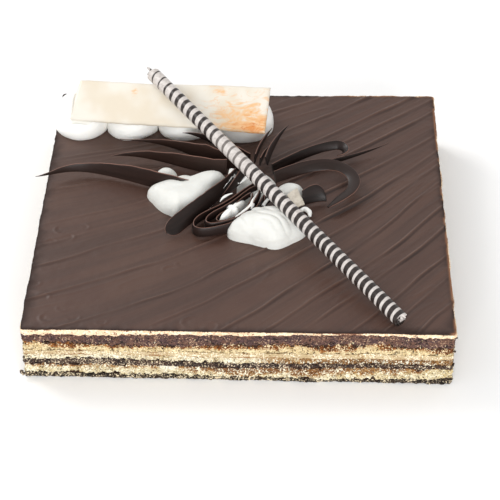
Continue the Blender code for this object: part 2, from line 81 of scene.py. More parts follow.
def vnoise(p, seed=0):
    """Value noise in -1..1 at points p (..., 3)."""
    f = np.floor(p)
    t = p - f
    t = t * t * t * (t * (t * 6 - 15) + 10)
    i = f.astype(np.int64)
    out = np.zeros(p.shape[:-1])
    for dx in (0, 1):
        wx = t[..., 0] if dx else 1 - t[..., 0]
        for dy in (0, 1):
            wy = t[..., 1] if dy else 1 - t[..., 1]
            for dz in (0, 1):
                wz = t[..., 2] if dz else 1 - t[..., 2]
                out += wx * wy * wz * rnd(i[..., 0] + dx, i[..., 1] + dy, i[..., 2] + dz, seed)
    return out * 2 - 1


def fbm(p, size, seed=0, octaves=4, gain=0.5):
    """Fractal noise, about -1..1, with features of `size` mm."""
    out = np.zeros(p.shape[:-1])
    amp, norm, q = 1.0, 0.0, p / size
    for o in range(octaves):
        out += amp * vnoise(q + 17.3 * o, seed + 31 * o)
        norm += amp
        amp *= gain
        q = q * 2.03
    return out / norm * 1.6


def cells(p, size, seed=0):
    """Distance to the nearest of scattered points, in units of `size`."""
    q = p / size
    i = np.floor(q).astype(np.int64)
    best = np.full(p.shape[:-1], 9.0)
    for dx in (-1, 0, 1):
        for dy in (-1, 0, 1):
            for dz in (-1, 0, 1):
                a, b, c = i[..., 0] + dx, i[..., 1] + dy, i[..., 2] + dz
                d = ((a + rnd(a, b, c, seed) - q[..., 0]) ** 2
                     + (b + rnd(a, b, c, seed + 7) - q[..., 1]) ** 2
                     + (c + rnd(a, b, c, seed + 13) - q[..., 2]) ** 2)
                best = np.minimum(best, d)
    return np.sqrt(best)


def smooth(a, b, x):
    t = np.clip((x - a) / (b - a), 0.0, 1.0)
    return t * t * (3 - 2 * t)


# ------------------------------------------------------------------ meshes
def piece(name, verts, faces, mat, node, attrs=None, shade=True, sharp=None):
    """A mesh piece from points in mm and faces (lists or arrays of indices)."""
    me = bpy.data.meshes.new(name)
    v = np.asarray(verts, np.float64) * MM
    flat, start, total = [], [], []
    n = 0
    for block in faces:
        block = np.asarray(block, np.int32)
        if block.ndim == 1:
            block = block[None, :]
        k = block.shape[1]
        flat.append(block.ravel())
        start.append(n + np.arange(len(block)) * k)
        total.append(np.full(len(block), k))
        n += block.size
    flat, start, total = np.concatenate(flat), np.concatenate(start), np.concatenate(total)
    me.vertices.add(len(v))
    me.vertices.foreach_set("co", v.ravel())
    me.loops.add(len(flat))
    me.loops.foreach_set("vertex_index", flat)
    me.polygons.add(len(start))
    me.polygons.foreach_set("loop_start", start.astype(np.int32))
    me.polygons.foreach_set("loop_total", total.astype(np.int32))
    me.update(calc_edges=True)
    me.validate(verbose=False)
    for key, values in (attrs or {}).items():
        a = me.attributes.new(key, "FLOAT", "POINT")
        a.data.foreach_set("value", np.asarray(values, np.float32).ravel())
    if shade:
        me.shade_smooth()
        if sharp is not None:
            me.set_sharp_from_angle(angle=math.radians(sharp))
    me.materials.append(mat)
    ob = bpy.data.objects.new(name, me)
    SCENE.collection.objects.link(ob)
    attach(ob, "root")
    if node:
        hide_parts(*([node] if isinstance(node, str) else node))
    return ob


def grid_faces(rows, cols, wrap=False, base=0):
    """Quads between `rows` rows of `cols` points; wrap joins the last column
    to the first."""
    j, i = np.meshgrid(np.arange(rows - 1), np.arange(cols if wrap else cols - 1), indexing="ij")
    a = base + j * cols + i
    b = base + j * cols + (i + 1) % cols
    return np.stack([a, b, b + cols, a + cols], -1).reshape(-1, 4)


# ------------------------------------------------------------------ materials
class Graph:
    """Short names for the shader nodes used below."""

    def __init__(self, name, rough=0.5, spec=0.5, subsurface=0.0, radius=(1, 0.5, 0.3),
                 sss_scale=0.002, coat=0.0, coat_rough=0.2, sheen=0.0):
        self.mat = bpy.data.materials.new(name)
        self.mat.use_nodes = True
        self.nt = self.mat.node_tree
        self.bsdf = self.nt.nodes["Principled BSDF"]
        s = self.bsdf.inputs
        s["Roughness"].default_value = rough
        s["Specular IOR Level"].default_value = spec
        s["Subsurface Weight"].default_value = subsurface
        s["Subsurface Radius"].default_value = radius
        s["Subsurface Scale"].default_value = sss_scale
        s["Coat Weight"].default_value = coat
        s["Coat Roughness"].default_value = coat_rough
        s["Sheen Weight"].default_value = sheen
        self._pos = None

    def link(self, a, b):
        self.nt.links.new(a, b)

    def put(self, sock, value):
        if isinstance(value, bpy.types.NodeSocket):
            self.link(value, sock)
        elif value is not None:
            if hasattr(sock, "default_value") and hasattr(sock.default_value, "__len__") \
                    and not hasattr(value, "__len__"):
                value = [value] * len(sock.default_value)
            if hasattr(sock.default_value, "__len__") and len(sock.default_value) == 4 and len(value) == 3:
                value = (*value, 1.0)
            sock.default_value = value

    @property
    def pos(self):
        """Position on the object, in mm."""
        if self._pos is None:
            tc = self.nt.nodes.new("ShaderNodeTexCoord")
            m = self.nt.nodes.new("ShaderNodeVectorMath")
            m.operation = "SCALE"
            self.link(tc.outputs["Object"], m.inputs[0])
            m.inputs["Scale"].default_value = 1000.0
            self._pos = m.outputs[0]
        return self._pos

    def attr(self, name):
        n = self.nt.nodes.new("ShaderNodeAttribute")
        n.attribute_type = "GEOMETRY"
        n.attribute_name = name
        return n.outputs["Fac"]

    def vec(self, x, y, z):
        n = self.nt.nodes.new("ShaderNodeCombineXYZ")
        for s, v in zip(n.inputs, (x, y, z)):
            self.put(s, v)
        return n.outputs[0]

    def scaled(self, v, s):
        n = self.nt.nodes.new("ShaderNodeVectorMath")
        n.operation = "MULTIPLY"
        self.put(n.inputs[0], v)
        n.inputs[1].default_value = s
        return n.outputs[0]

    def vec_add(self, v, o):
        n = self.nt.nodes.new("ShaderNodeVectorMath")
        n.operation = "ADD"
        self.put(n.inputs[0], v)
        n.inputs[1].default_value = o
        return n.outputs[0]

    def noise(self, v, size, detail=3.0, rough=0.5, distort=0.0):
        n = self.nt.nodes.new("ShaderNodeTexNoise")
        self.put(n.inputs["Vector"], v)
        n.inputs["Scale"].default_value = 1.0 / size
        n.inputs["Detail"].default_value = detail
        n.inputs["Roughness"].default_value = rough
        n.inputs["Distortion"].default_value = distort
        return n.outputs["Fac"]

    def voronoi(self, v, size, feature="F1", rand=1.0):
        n = self.nt.nodes.new("ShaderNodeTexVoronoi")
        n.feature = feature
        self.put(n.inputs["Vector"], v)
        n.inputs["Scale"].default_value = 1.0 / size
        n.inputs["Randomness"].default_value = rand
        return n.outputs["Distance"]

    def math(self, op, a, b=0.0, c=None, clamp=False):
        n = self.nt.nodes.new("ShaderNodeMath")
        n.operation = op
        n.use_clamp = clamp
        self.put(n.inputs[0], a)
        self.put(n.inputs[1], b)
        if c is not None:
            self.put(n.inputs[2], c)
        return n.outputs[0]

    def span(self, v, lo, hi, to0=0.0, to1=1.0):
        """v mapped from lo..hi to to0..to1, smooth and clamped."""
        n = self.nt.nodes.new("ShaderNodeMapRange")
        n.interpolation_type = "SMOOTHSTEP"
        self.put(n.inputs["Value"], v)
        n.inputs["From Min"].default_value = lo
        n.inputs["From Max"].default_value = hi
        n.inputs["To Min"].default_value = to0
        n.inputs["To Max"].default_value = to1
        return n.outputs["Result"]

    def mix(self, fac, a, b, mode="MIX"):
        n = self.nt.nodes.new("ShaderNodeMix")
        n.data_type = "RGBA"
        n.blend_type = mode
        self.put(n.inputs[0], fac)
        self.put(n.inputs[6], a)
        self.put(n.inputs[7], b)
        return n.outputs[2]

    def colour(self, c):
        self.put(self.bsdf.inputs["Base Color"], c)

    def bump(self, height, dist, strength=1.0):
        n = self.nt.nodes.new("ShaderNodeBump")
        n.inputs["Strength"].default_value = strength
        n.inputs["Distance"].default_value = dist * MM
        self.put(n.inputs["Height"], height)
        self.link(n.outputs[0], self.bsdf.inputs["Normal"])

    def rough(self, v):
        self.put(self.bsdf.inputs["Roughness"], v)


def srgb(r, g, b):
    """Linear colour from 0-255 display values."""
    return tuple((c / 255 / 12.92) if c / 255 <= 0.04045 else ((c / 255 + 0.055) / 1.055) ** 2.4
                 for c in (r, g, b))


# ================================================================ the slab
# the joints between layers from the bottom up: height in mm along the front
# edge at x = -90, -60, -30, 0, 30, 60, 90, how jagged the cut is there
JOINT_X = (-90.0, -60.0, -30.0, 0.0, 30.0, 60.0, 90.0)
JOINTS = [
    ((2.8, 2.5, 2.3, 2.0, 1.6, 1.7, 3.0), 0.42),      # base / bottom sponge
    ((8.0, 8.2, 7.7, 7.5, 8.2, 8.8, 8.7), 0.40),      # / lower ganache
    ((10.6, 12.0, 10.5, 9.8, 10.2, 10.9, 10.7), 0.55),  # / lower middle sponge
    ((13.6, 14.0, 13.6, 13.4, 13.7, 13.8, 13.8), 0.26),  # / middle buttercream
    ((15.9, 15.9, 16.0, 16.1, 16.3, 16.4, 16.2), 0.34),  # / upper middle sponge
    ((21.6, 19.6, 19.8, 21.2, 21.6, 22.0, 20.4), 0.80),  # / upper ganache
    ((25.3, 25.2, 26.2, 26.1, 27.2, 27.1, 26.3), 0.42),  # / top buttercream
    ((28.2, 28.4, 28.4, 28.3, 28.2, 28.2, 28.2), 0.10),  # / glaze
]
LAYERS = [  # node, slot, rows of the wall
    ("base_chocolate", "base_chocolate", 6),
    ("sponge_bottom", "sponge_pale", 11),
    ("ganache_lower", "ganache", 7),
    ("sponge_lower_middle", "sponge_pale", 8),
    ("buttercream_middle", "buttercream", 6),
    ("sponge_upper_middle", "sponge_soaked", 9),
    ("ganache_upper", "ganache", 12),
    ("buttercream_top", "buttercream", 6),
    ("glaze", "glaze", 5),
]


def perimeter(step):
    """Round the slab, counter-clockwise from the front left corner: points,
    outward normals and distance run, as arrays."""
    order = [(0, 0), (1, 0), (1, 1), (0, 1)]
    pts, nor, run, total = [], [], [], 0.0
    counts = []
    for k in range(4):
        a = np.array(CORNERS[order[k]])
        b = np.array(CORNERS[order[(k + 1) % 4]])
        length = np.hypot(*(b - a))
        n = int((190.0, 183.0)[k % 2] / step)
        counts.append(n)
        d = (b - a) / length
        out = np.array([d[1], -d[0]])
        t = np.arange(n) / n
        dc = np.minimum(t, 1 - t) * length
        r = 1.3
        pull = r - np.sqrt(np.maximum(0.0, r * r - np.maximum(0.0, r - dc) ** 2))
        pull[0] = 0.0
        p = a + (b - a) * t[:, None] - out * pull[:, None]
        pts.append(p)
        nor.append(np.repeat(out[None], n, 0))
        run.append(total + t * length)
        total += length
    pts, nor, run = np.concatenate(pts), np.concatenate(nor), np.concatenate(run)
    first = 0
    for k in range(4):                      # the four corner points themselves
        before = nor[first - 1]
        n = nor[first] + before
        pts[first] -= n * 1.3 * 0.29
        nor[first] = n / np.hypot(*n)
        first += counts[k]
    return pts, nor, run, counts


def joint(k, x, y, run):
    """Height of joint k (k = -1 is the underside) at points on the wall."""
    if k < 0:
        return np.zeros_like(x)
    table, jag = JOINTS[k]
    mean = float(np.mean(table))
    # a smooth curve through the seven heights
    t = np.clip((x + 90.0) / 30.0, 0.0, 5.9999)
    i = np.floor(t).astype(int)
    f = t - i
    f = f * f * (3 - 2 * f)
    front = np.array(table)[i] * (1 - f) + np.array(table)[i + 1] * f
    w = smooth(-52.0, -91.0, y)
    p = np.stack([x, y, np.full_like(x, 40.0 * k)], -1)
    drift = fbm(p, 38.0, 11, 3) * (0.85 if k in (1, 2, 5) else 0.5)
    h = w * front + (1 - w) * (mean + drift)
    q = np.stack([x, y, np.full_like(x, 9.0 * k)], -1)
    h = h + jag * (0.75 * fbm(q, 3.4, 23 + k, 3) + 1.05 * vnoise(q / 1.15, 41 + k))
    return h


WALL_STEP = 0.6
P_XY, P_N, P_RUN, P_COUNTS = perimeter(WALL_STEP)


def wobble(p):
    """How far the knife strayed from a plane cut, common to all layers."""
    return 0.30 * fbm(p * (1.0, 1.0, 0.35), 26.0, 5, 3)


def lean_out(x, z, ny):
    """The front face stands out at the foot on the right, in on the left."""
    return (1.6 * smooth(-95.0, 95.0, x) - 0.5) * (1 - z / TOP) * np.maximum(0.0, -ny)


def wall_push(kind, p):
    """Outward push of the cut face at points p, and how deep the pores are."""
    pore = np.zeros(p.shape[:-1])
    if kind.startswith("sponge"):
        c = cells(p * (1.0, 1.0, 1.25), 1.55, 3)
        c2 = cells(p * (1.0, 1.0, 1.1), 3.4, 9)
        pore = 0.75 * smooth(0.42, 0.16, c) + 0.6 * smooth(0.30, 0.12, c2)
        push = -0.10 + 0.50 * fbm(p, 1.6, 51, 3) + 0.26 * fbm(p, 6.0, 53, 2) - 0.65 * pore
    elif kind.startswith("buttercream"):
        push = 0.08 + 0.18 * fbm(p * (0.3, 0.3, 1.0), 1.1, 61, 3) + 0.14 * fbm(p, 5.0, 63, 2)
        if kind.endswith("top"):      # smeared out past the glaze on the right and at the back
            push = push + 0.55 * smooth(70.0, 94.0, p[..., 0]) * smooth(-0.5, 0.7, fbm(p, 7.0, 65, 2) + 0.3)
            push = push + 0.40 * smooth(86.0, 91.0, p[..., 1]) * smooth(0.0, 60.0, p[..., 0])
    elif kind.startswith("ganache"):
        push = 0.02 + 0.50 * fbm(p, 1.35, 71, 3) + 0.18 * fbm(p, 5.0, 73, 2)
        pore = 0.5 * smooth(0.2, 0.7, vnoise(p / 0.9, 75))
    elif kind.startswith("base"):
        push = 0.10 + 0.48 * fbm(p, 1.2, 81, 3) + 0.14 * fbm(p, 4.0, 83, 2)
    else:
        push = np.zeros(p.shape[:-1])
    return push, pore


def layer_wall(k, xy, nor, run, rows):
    """The wall of layer k as rows of points, its attributes, from z low to
    high."""
    name = LAYERS[k][0]
    lo = joint(k - 1, xy[:, 0], xy[:, 1], run)
    hi = joint(k, xy[:, 0], xy[:, 1], run)
    hi = np.maximum(hi, lo + 0.45)
    f = np.linspace(0, 1, rows)[:, None]
    z = lo[None] * (1 - f) + hi[None] * f
    if k == 0:
        z[0] = 0.0
    p = np.empty(z.shape + (3,))
    p[..., 0], p[..., 1], p[..., 2] = xy[None, :, 0], xy[None, :, 1], z
    push, pore = wall_push(name, p)
    push = push + wobble(p) + lean_out(p[..., 0], p[..., 2], nor[None, :, 1])
    if k == 0:
        push[0] -= 0.25
    p[..., 0] += nor[None, :, 0] * push
    p[..., 1] += nor[None, :, 1] * push
    return p, pore, np.broadcast_to(f, z.shape)


def sponge_attrs(k, p, h):
    """Where the syrup has browned the sponge, where it is whitest, and where
    the knife has dragged dark crumbs over it."""
    x, y, z = p[..., 0], p[..., 1], p[..., 2]
    big = fbm(p * (1, 1, 1.4), 15.0, 101 + k, 3)
    mid = fbm(p * (1, 1, 1.6), 4.2, 105 + k, 3)
    fine = fbm(p, 1.3, 109 + k, 2)
    front = smooth(-60, -88, y)
    right = smooth(-30.0, 75.0, x) * front + 0.55 * (1 - front)
    if k == 5:      # soaked: brown under the ganache, paler below
        soak = smooth(0.26, 0.80, h + 0.34 * big + 0.20 * mid) * (0.90 + 0.38 * right)
        soak = soak + 0.30 * right * smooth(-0.3, 0.6, big)
        pale = smooth(0.70, 0.25, h) * (1 - 0.5 * right)
        drag = smooth(0.74, 1.04, h + 0.26 * mid + 0.20 * fine)
    elif k == 3:    # lower middle: pale at the left, tan towards the right
        soak = smooth(0.0, 0.85, 0.04 + 0.88 * right + 0.34 * big + 0.2 * mid)
        pale = smooth(0.1, 0.8, 0.55 - 0.5 * right + 0.5 * mid)
        drag = smooth(0.20, -0.06, h + 0.18 * mid + 0.16 * fine)
    else:           # bottom: brown at the top where the ganache has bled in
        middle = np.exp(-((x - 8.0) / 42.0) ** 2) * front
        soak = smooth(0.42, 1.1, h + 0.30 * big + 0.2 * mid + 0.42 * middle + 0.10 * right)
        pale = smooth(0.2, 0.9, 0.45 - 0.3 * right + 0.5 * mid)
        drag = np.maximum(smooth(0.86, 1.04, h + 0.14 * mid + 0.12 * fine),
                          smooth(0.14, -0.04, h + 0.12 * mid + 0.12 * fine))
    smear = np.exp(-((x + 31.0) / 5.5) ** 2 - ((z - 7.0) / 2.6) ** 2) * front
    smear = smear + 0.8 * np.exp(-((x + 62.0) / 9.0) ** 2 - ((z - 11.5) / 1.2) ** 2) * front
    return {"soak": np.clip(soak - smear, 0, 1), "pale": np.clip(pale + smear, 0, 1),
            "drag": np.clip(drag, 0, 1), "smear": np.clip(smear * (0.75 + 0.5 * fine), 0, 1)}


# ---- materials of the cut faces
def grains(g, c, light, dark, share_l, share_d, size=0.76, strength=1.0):
    """Light and dark crumbs strewn through a colour; the shares are 0..1."""
    p = g.pos
    a = g.noise(g.vec_add(p, (31.7, 8.1, 4.3)), size, 2.0, 0.7)
    b = g.noise(g.vec_add(p, (3.9, 57.2, 21.5)), size * 1.25, 2.0, 0.7)
    patch = g.noise(p, 4.5, 2.0, 0.5)
    a = g.math("ADD", a, g.math("MULTIPLY", g.math("SUBTRACT", patch, 0.5), 0.35))
    b = g.math("SUBTRACT", b, g.math("MULTIPLY", g.math("SUBTRACT", patch, 0.5), 0.25))
    lo = 0.66 - 0.32 * share_l
    c = g.mix(g.math("MULTIPLY", g.span(a, lo, lo + 0.07), strength), c, light)
    lo = 0.66 - 0.32 * share_d
    c = g.mix(g.math("MULTIPLY", g.span(b, lo, lo + 0.07), strength), c, dark)
    return c, g.math("SUBTRACT", a, b)


def sponge_material(name, base, pale, soak, deep, light, dark, share_l, share_d):
    g = Graph(name, rough=0.92, spec=0.18)
    p = g.pos
    grain = g.noise(p, 1.5, 4.0, 0.65)
    fine = g.noise(p, 0.5, 2.0, 0.6)
    big = g.noise(p, 5.5, 3.0, 0.55)
    holes = g.voronoi(p, 1.0)
    c = g.mix(g.span(big, 0.35, 0.65), base, pale)
    c = g.mix(g.math("MULTIPLY", g.attr("pale"), 0.6), c, pale)
    stain = g.math("ADD", g.attr("soak"), g.math("MULTIPLY", g.math("SUBTRACT", grain, 0.5), 1.5))
    c = g.mix(g.span(stain, 0.12, 0.62), c, soak)
    c = g.mix(g.span(stain, 0.50, 1.15), c, deep)
    c, lumps = grains(g, c, light, dark, share_l, share_d)
    drag = g.math("ADD", g.attr("drag"), g.math("MULTIPLY", g.math("SUBTRACT", fine, 0.5), 2.4))
    c = g.mix(g.span(drag, 0.48, 0.62), c, srgb(58, 40, 31))
    c = g.mix(g.span(g.math("ADD", g.attr("smear"), g.math("MULTIPLY", g.math("SUBTRACT", grain, 0.5), 0.9)), 0.35, 0.65),
              c, srgb(242, 234, 214))
    # painted shade: the crumb's holes and pore pits are darkened, as shade inside the pores
    pore_shade_mask = g.math("MAXIMUM", g.span(holes, 0.30, 0.12), g.math("MULTIPLY", g.attr("pore_shade"), 0.9))
    c = g.mix(g.math("MULTIPLY", pore_shade_mask, 0.70), c, (0.34, 0.22, 0.12), "MULTIPLY")
    g.colour(c)
    h = g.math("SUBTRACT", g.math("ADD", g.math("MULTIPLY", lumps, 1.2), fine),
               g.math("MULTIPLY", g.span(holes, 0.34, 0.10), 1.1))
    g.bump(h, 0.55, 0.9)
    return g.mat


def ganache_material(name, base, dark, light, deep, share_l, share_d):
    g = Graph(name, rough=0.70, spec=0.30)
    p = g.pos
    grain = g.noise(p, 1.1, 4.0, 0.7)
    big = g.noise(g.scaled(p, (1, 1, 1.6)), 5.0, 3.0, 0.6)
    c = g.mix(g.span(big, 0.38, 0.62), base, dark)
    c = g.mix(g.math("MULTIPLY", g.span(grain, 0.50, 0.34), 0.7), c, dark)
    c, lumps = grains(g, c, light, deep, share_l, share_d)
    # painted shade: the ganache is darkened in its small pits, as shade inside them
    c = g.mix(g.math("MULTIPLY", g.attr("pore_shade"), 0.6), c, (0.40, 0.33, 0.28), "MULTIPLY")
    g.colour(c)
    g.bump(g.math("ADD", grain, lumps), 0.6, 0.9)
    return g.mat


def buttercream_material(name, a, b, edge, deep, share, share_l=0.30):
    g = Graph(name, rough=0.60, spec=0.35)
    p = g.pos
    streak = g.noise(g.scaled(p, (0.22, 0.22, 1.0)), 0.9, 3.0, 0.6)
    big = g.noise(p, 9.0, 3.0, 0.5)
    fine = g.noise(p, 0.6, 3.0, 0.6)
    c = g.mix(g.span(big, 0.36, 0.64), a, b)
    c = g.mix(g.math("MULTIPLY", g.span(streak, 0.52, 0.70), 0.6), c, edge)
    c, lumps = grains(g, c, srgb(252, 240, 214), deep, share_l, share, 0.76, 0.85)
    ends = g.math("ADD", g.attr("rim"), g.math("MULTIPLY", g.math("SUBTRACT", fine, 0.5), 1.6))
    c = g.mix(g.span(ends, 0.60, 0.95), c, deep)
    g.colour(c)
    g.bump(g.math("ADD", streak, g.math("MULTIPLY", lumps, 0.5)), 0.35, 0.7)
    return g.mat


MAT_SPONGE = {
    1: sponge_material("sponge_bottom", srgb(206, 184, 136), srgb(230, 217, 180),
                       srgb(172, 130, 80), srgb(126, 82, 46), srgb(255, 248, 222), srgb(92, 64, 38), 0.42, 0.24),
    3: sponge_material("sponge_lower_middle", srgb(206, 186, 142), srgb(234, 222, 190),
                       srgb(166, 128, 82), srgb(124, 86, 48), srgb(255, 250, 228), srgb(96, 68, 40), 0.42, 0.24),
    5: sponge_material("sponge_upper_middle", srgb(206, 178, 126), srgb(226, 207, 163),
                       srgb(166, 108, 54), srgb(104, 58, 30), srgb(246, 226, 184), srgb(70, 42, 25), 0.38, 0.28),
}
MAT_GANACHE_UP = ganache_material("ganache_upper", srgb(108, 76, 62), srgb(82, 59, 58),
                                  srgb(196, 162, 132), srgb(34, 22, 18), 0.22, 0.36)
MAT_GANACHE_LOW = ganache_material("ganache_lower", srgb(76, 54, 43), srgb(52, 38, 34),
                                   srgb(226, 206, 176), srgb(24, 16, 12), 0.34, 0.38)
MAT_BASE = ganache_material("base_chocolate", srgb(60, 43, 29), srgb(32, 22, 13),
                            srgb(232, 214, 180), srgb(16, 10, 6), 0.42, 0.40)
MAT_CREAM_TOP = buttercream_material("buttercream_top", srgb(232, 206, 172), srgb(224, 192, 156),
                                     srgb(198, 150, 112), srgb(118, 76, 54), 0.20, 0.40)
MAT_CREAM_MID = buttercream_material("buttercream_middle", srgb(181, 160, 122), srgb(190, 172, 136),
                                     srgb(190, 164, 120), srgb(140, 102, 62), 0.22, 0.40)


def cap(ring, inset, z):
    """A ring of points `inset` mm inside a wall ring, at one height."""
    r = ring.copy()
    mid = ring[:, :2].mean(0)
    d = r[:, :2] - mid
    r[:, :2] = mid + d * (1 - inset / 93.0)
    r[:, 2] = z
    return r


def build_layers():
    n = len(P_XY)
    for k, (name, slot, rows) in enumerate(LAYERS[:-1]):
        p, pore, h = layer_wall(k, P_XY, P_N, P_RUN, rows)
        # pore depth, carried to the shaders for the painted shade in the pores
        attrs = {"pore_shade": pore.ravel()}
        if name.startswith("sponge"):
            mat = MAT_SPONGE[k]
            attrs.update({a: v.ravel() for a, v in sponge_attrs(k, p, h).items()})
        elif name.startswith("buttercream"):
            mat = MAT_CREAM_TOP if k == 7 else MAT_CREAM_MID
            rim = np.abs(h * 2 - 1) if k == 7 else np.where(h < 0.5, 1 - 2 * h, 0.55 * (2 * h - 1))
            thin = 0.45 * fbm(p * (1, 1, 0.2), 12.0, 131 + k, 3)
            if k == 7:      # scraped thin towards the right of the front edge
                x, y = p[..., 0], p[..., 1]
                thin = thin + 0.45 * np.exp(-((x - 48) / 22.0) ** 2) * smooth(-60, -88, y)
            else:
                x, y = p[..., 0], p[..., 1]
                thin = thin + 0.14 * smooth(30.0, -40.0, x) * smooth(-60, -88, y)
            attrs["rim"] = (rim * 0.75 + thin).ravel()
        elif name == "ganache_upper":
            mat = MAT_GANACHE_UP
        elif name == "ganache_lower":
            mat = MAT_GANACHE_LOW
        else:
            mat = MAT_BASE
        z_hi = float(np.mean(JOINTS[k][0])) - 0.5
        z_lo = 0.0 if k == 0 else float(np.mean(JOINTS[k - 1][0])) + 0.4
        p = np.concatenate([cap(p[0], 2.2, z_lo)[None], p, cap(p[-1], 2.2, z_hi)[None]])
        attrs = {a: np.concatenate([np.asarray(v).reshape(rows, n)[:1], np.asarray(v).reshape(rows, n),
                                    np.asarray(v).reshape(rows, n)[-1:]]) for a, v in attrs.items()}
        faces = [grid_faces(rows + 2, n, wrap=True),
                 np.arange((rows + 1) * n, (rows + 2) * n),
                 np.arange(n)[::-1]]
        piece(name + "_cut", p.reshape(-1, 3), faces, mat, name, attrs, sharp=60)


# ================================================================ the glaze
# palette-knife strokes: y of each stroke at x = -95, 20 and 115, its height
STROKES = [
    (60.0, 100.0, 172.0, 0.30), (34.0, 80.0, 152.0, 0.30), (8.0, 60.0, 137.0, 0.34),
    (-17.8, 41.0, 121.0, 0.36), (-34.0, 29.5, 110.0, 0.22), (-49.0, 16.6, 100.0, 0.42),
    (-72.0, -5.7, 79.0, 0.42), (-97.0, -27.6, 69.0, 0.46), (-120.0, -43.8, 60.0, 0.34),
    (-148.0, -66.0, 48.0, 0.46), (-170.0, -82.6, 24.0, 0.46), (-190.0, -98.0, 9.0, 0.40),
    (-222.0, -122.0, -10.0, 0.42), (-238.0, -138.0, -27.0, 0.26), (-262.0, -158.0, -45.0, 0.36),
]


def stroke_y(s, x):
    """Height in plan of one stroke at x: a parabola through its three y."""
    a, b, c = s[:3]
    return (a * (x - 20) * (x - 115) / ((-115) * (-210))
            + b * (x + 95) * (x - 115) / (115 * (-95))
            + c * (x + 95) * (x - 20) / (210 * 95))


def glaze_relief(x, y):
    """Relief of the glaze in mm, and the coordinate across the strokes."""
    lines = np.stack([stroke_y(s, x) for s in STROKES])
    slope = (stroke_y(STROKES[7], x + 0.5) - stroke_y(STROKES[7], x - 0.5))
    cosa = 1.0 / np.sqrt(1 + slope ** 2)
    p = np.stack([x, y, np.zeros_like(x)], -1)
    bend = 0.9 * fbm(p, 30.0, 201, 2)
    relief = np.zeros_like(x)
    near = np.full_like(x, 50.0)
    tall = np.zeros_like(x)
    strength = 0.40 + 0.60 * smooth(-50.0, 40.0, x + 0.3 * y)
    for i, s in enumerate(STROKES):
        d = (y - lines[i]) * cosa + bend
        along = np.stack([x * 0.9 + y * 0.5, np.full_like(x, 7.7 * i), np.zeros_like(x)], -1)
        amp = 2.0 * s[3] * strength * np.clip(0.80 + 0.75 * vnoise(along / 17.0, 211), 0.12, 1.5)
        relief += amp * 0.52 * np.exp(-(d / 0.60) ** 2)                  # the burr itself
        relief += amp * 0.26 * np.where(d > 0, np.exp(-(np.maximum(d, 0) / 3.4) ** 1.2), 0.0)
        relief -= 0.20 * amp * np.exp(-((d + 1.6) / 1.0) ** 2)           # scraped hollow
        closer = np.abs(d) < np.abs(near)
        near = np.where(closer, d, near)
        tall = np.where(closer, amp, tall)
    # continuous coordinate across the fan, in mm
    cross = np.zeros_like(x)
    for i in range(len(STROKES) - 1):
        t = (y - lines[i + 1]) / np.maximum(lines[i] - lines[i + 1], 1e-3)
        cross = np.where((t >= 0) & (t < 1), -(i + 1 - t) * 15.0, cross)
    cross = np.where(y < lines[-1], -15.0 * (len(STROKES) - 1) + (y - lines[-1]) * 0.8, cross)
    # finer burrs between the strokes
    q = np.stack([cross / 5.2, (x * 0.72 + y * 0.62) / 46.0, np.zeros_like(x)], -1)
    v = vnoise(q, 241)
    relief += 0.26 * strength * np.exp(-(v / 0.10) ** 2) * smooth(-0.3, 0.4, vnoise(q * 0.37 + 9.1, 243))
    q = np.stack([cross / 2.6, (x * 0.72 + y * 0.62) / 30.0, np.full_like(x, 4.0)], -1)
    v = vnoise(q, 245)
    relief += 0.16 * np.exp(-(v / 0.14) ** 2) * smooth(-0.1, 0.5, vnoise(q * 0.31 + 3.1, 247))
    return relief, cross, near, tall


def edge_distance(x, y):
    """Distance inside the outline of the slab, in mm."""
    best = np.full_like(x, 1e9)
    order = [(0, 0), (1, 0), (1, 1), (0, 1)]
    for k in range(4):
        a, b = CORNERS[order[k]], CORNERS[order[(k + 1) % 4]]
        dx, dy = b[0] - a[0], b[1] - a[1]
        length = math.hypot(dx, dy)
        best = np.minimum(best, (dx * (y - a[1]) - dy * (x - a[0])) / length)
    return best


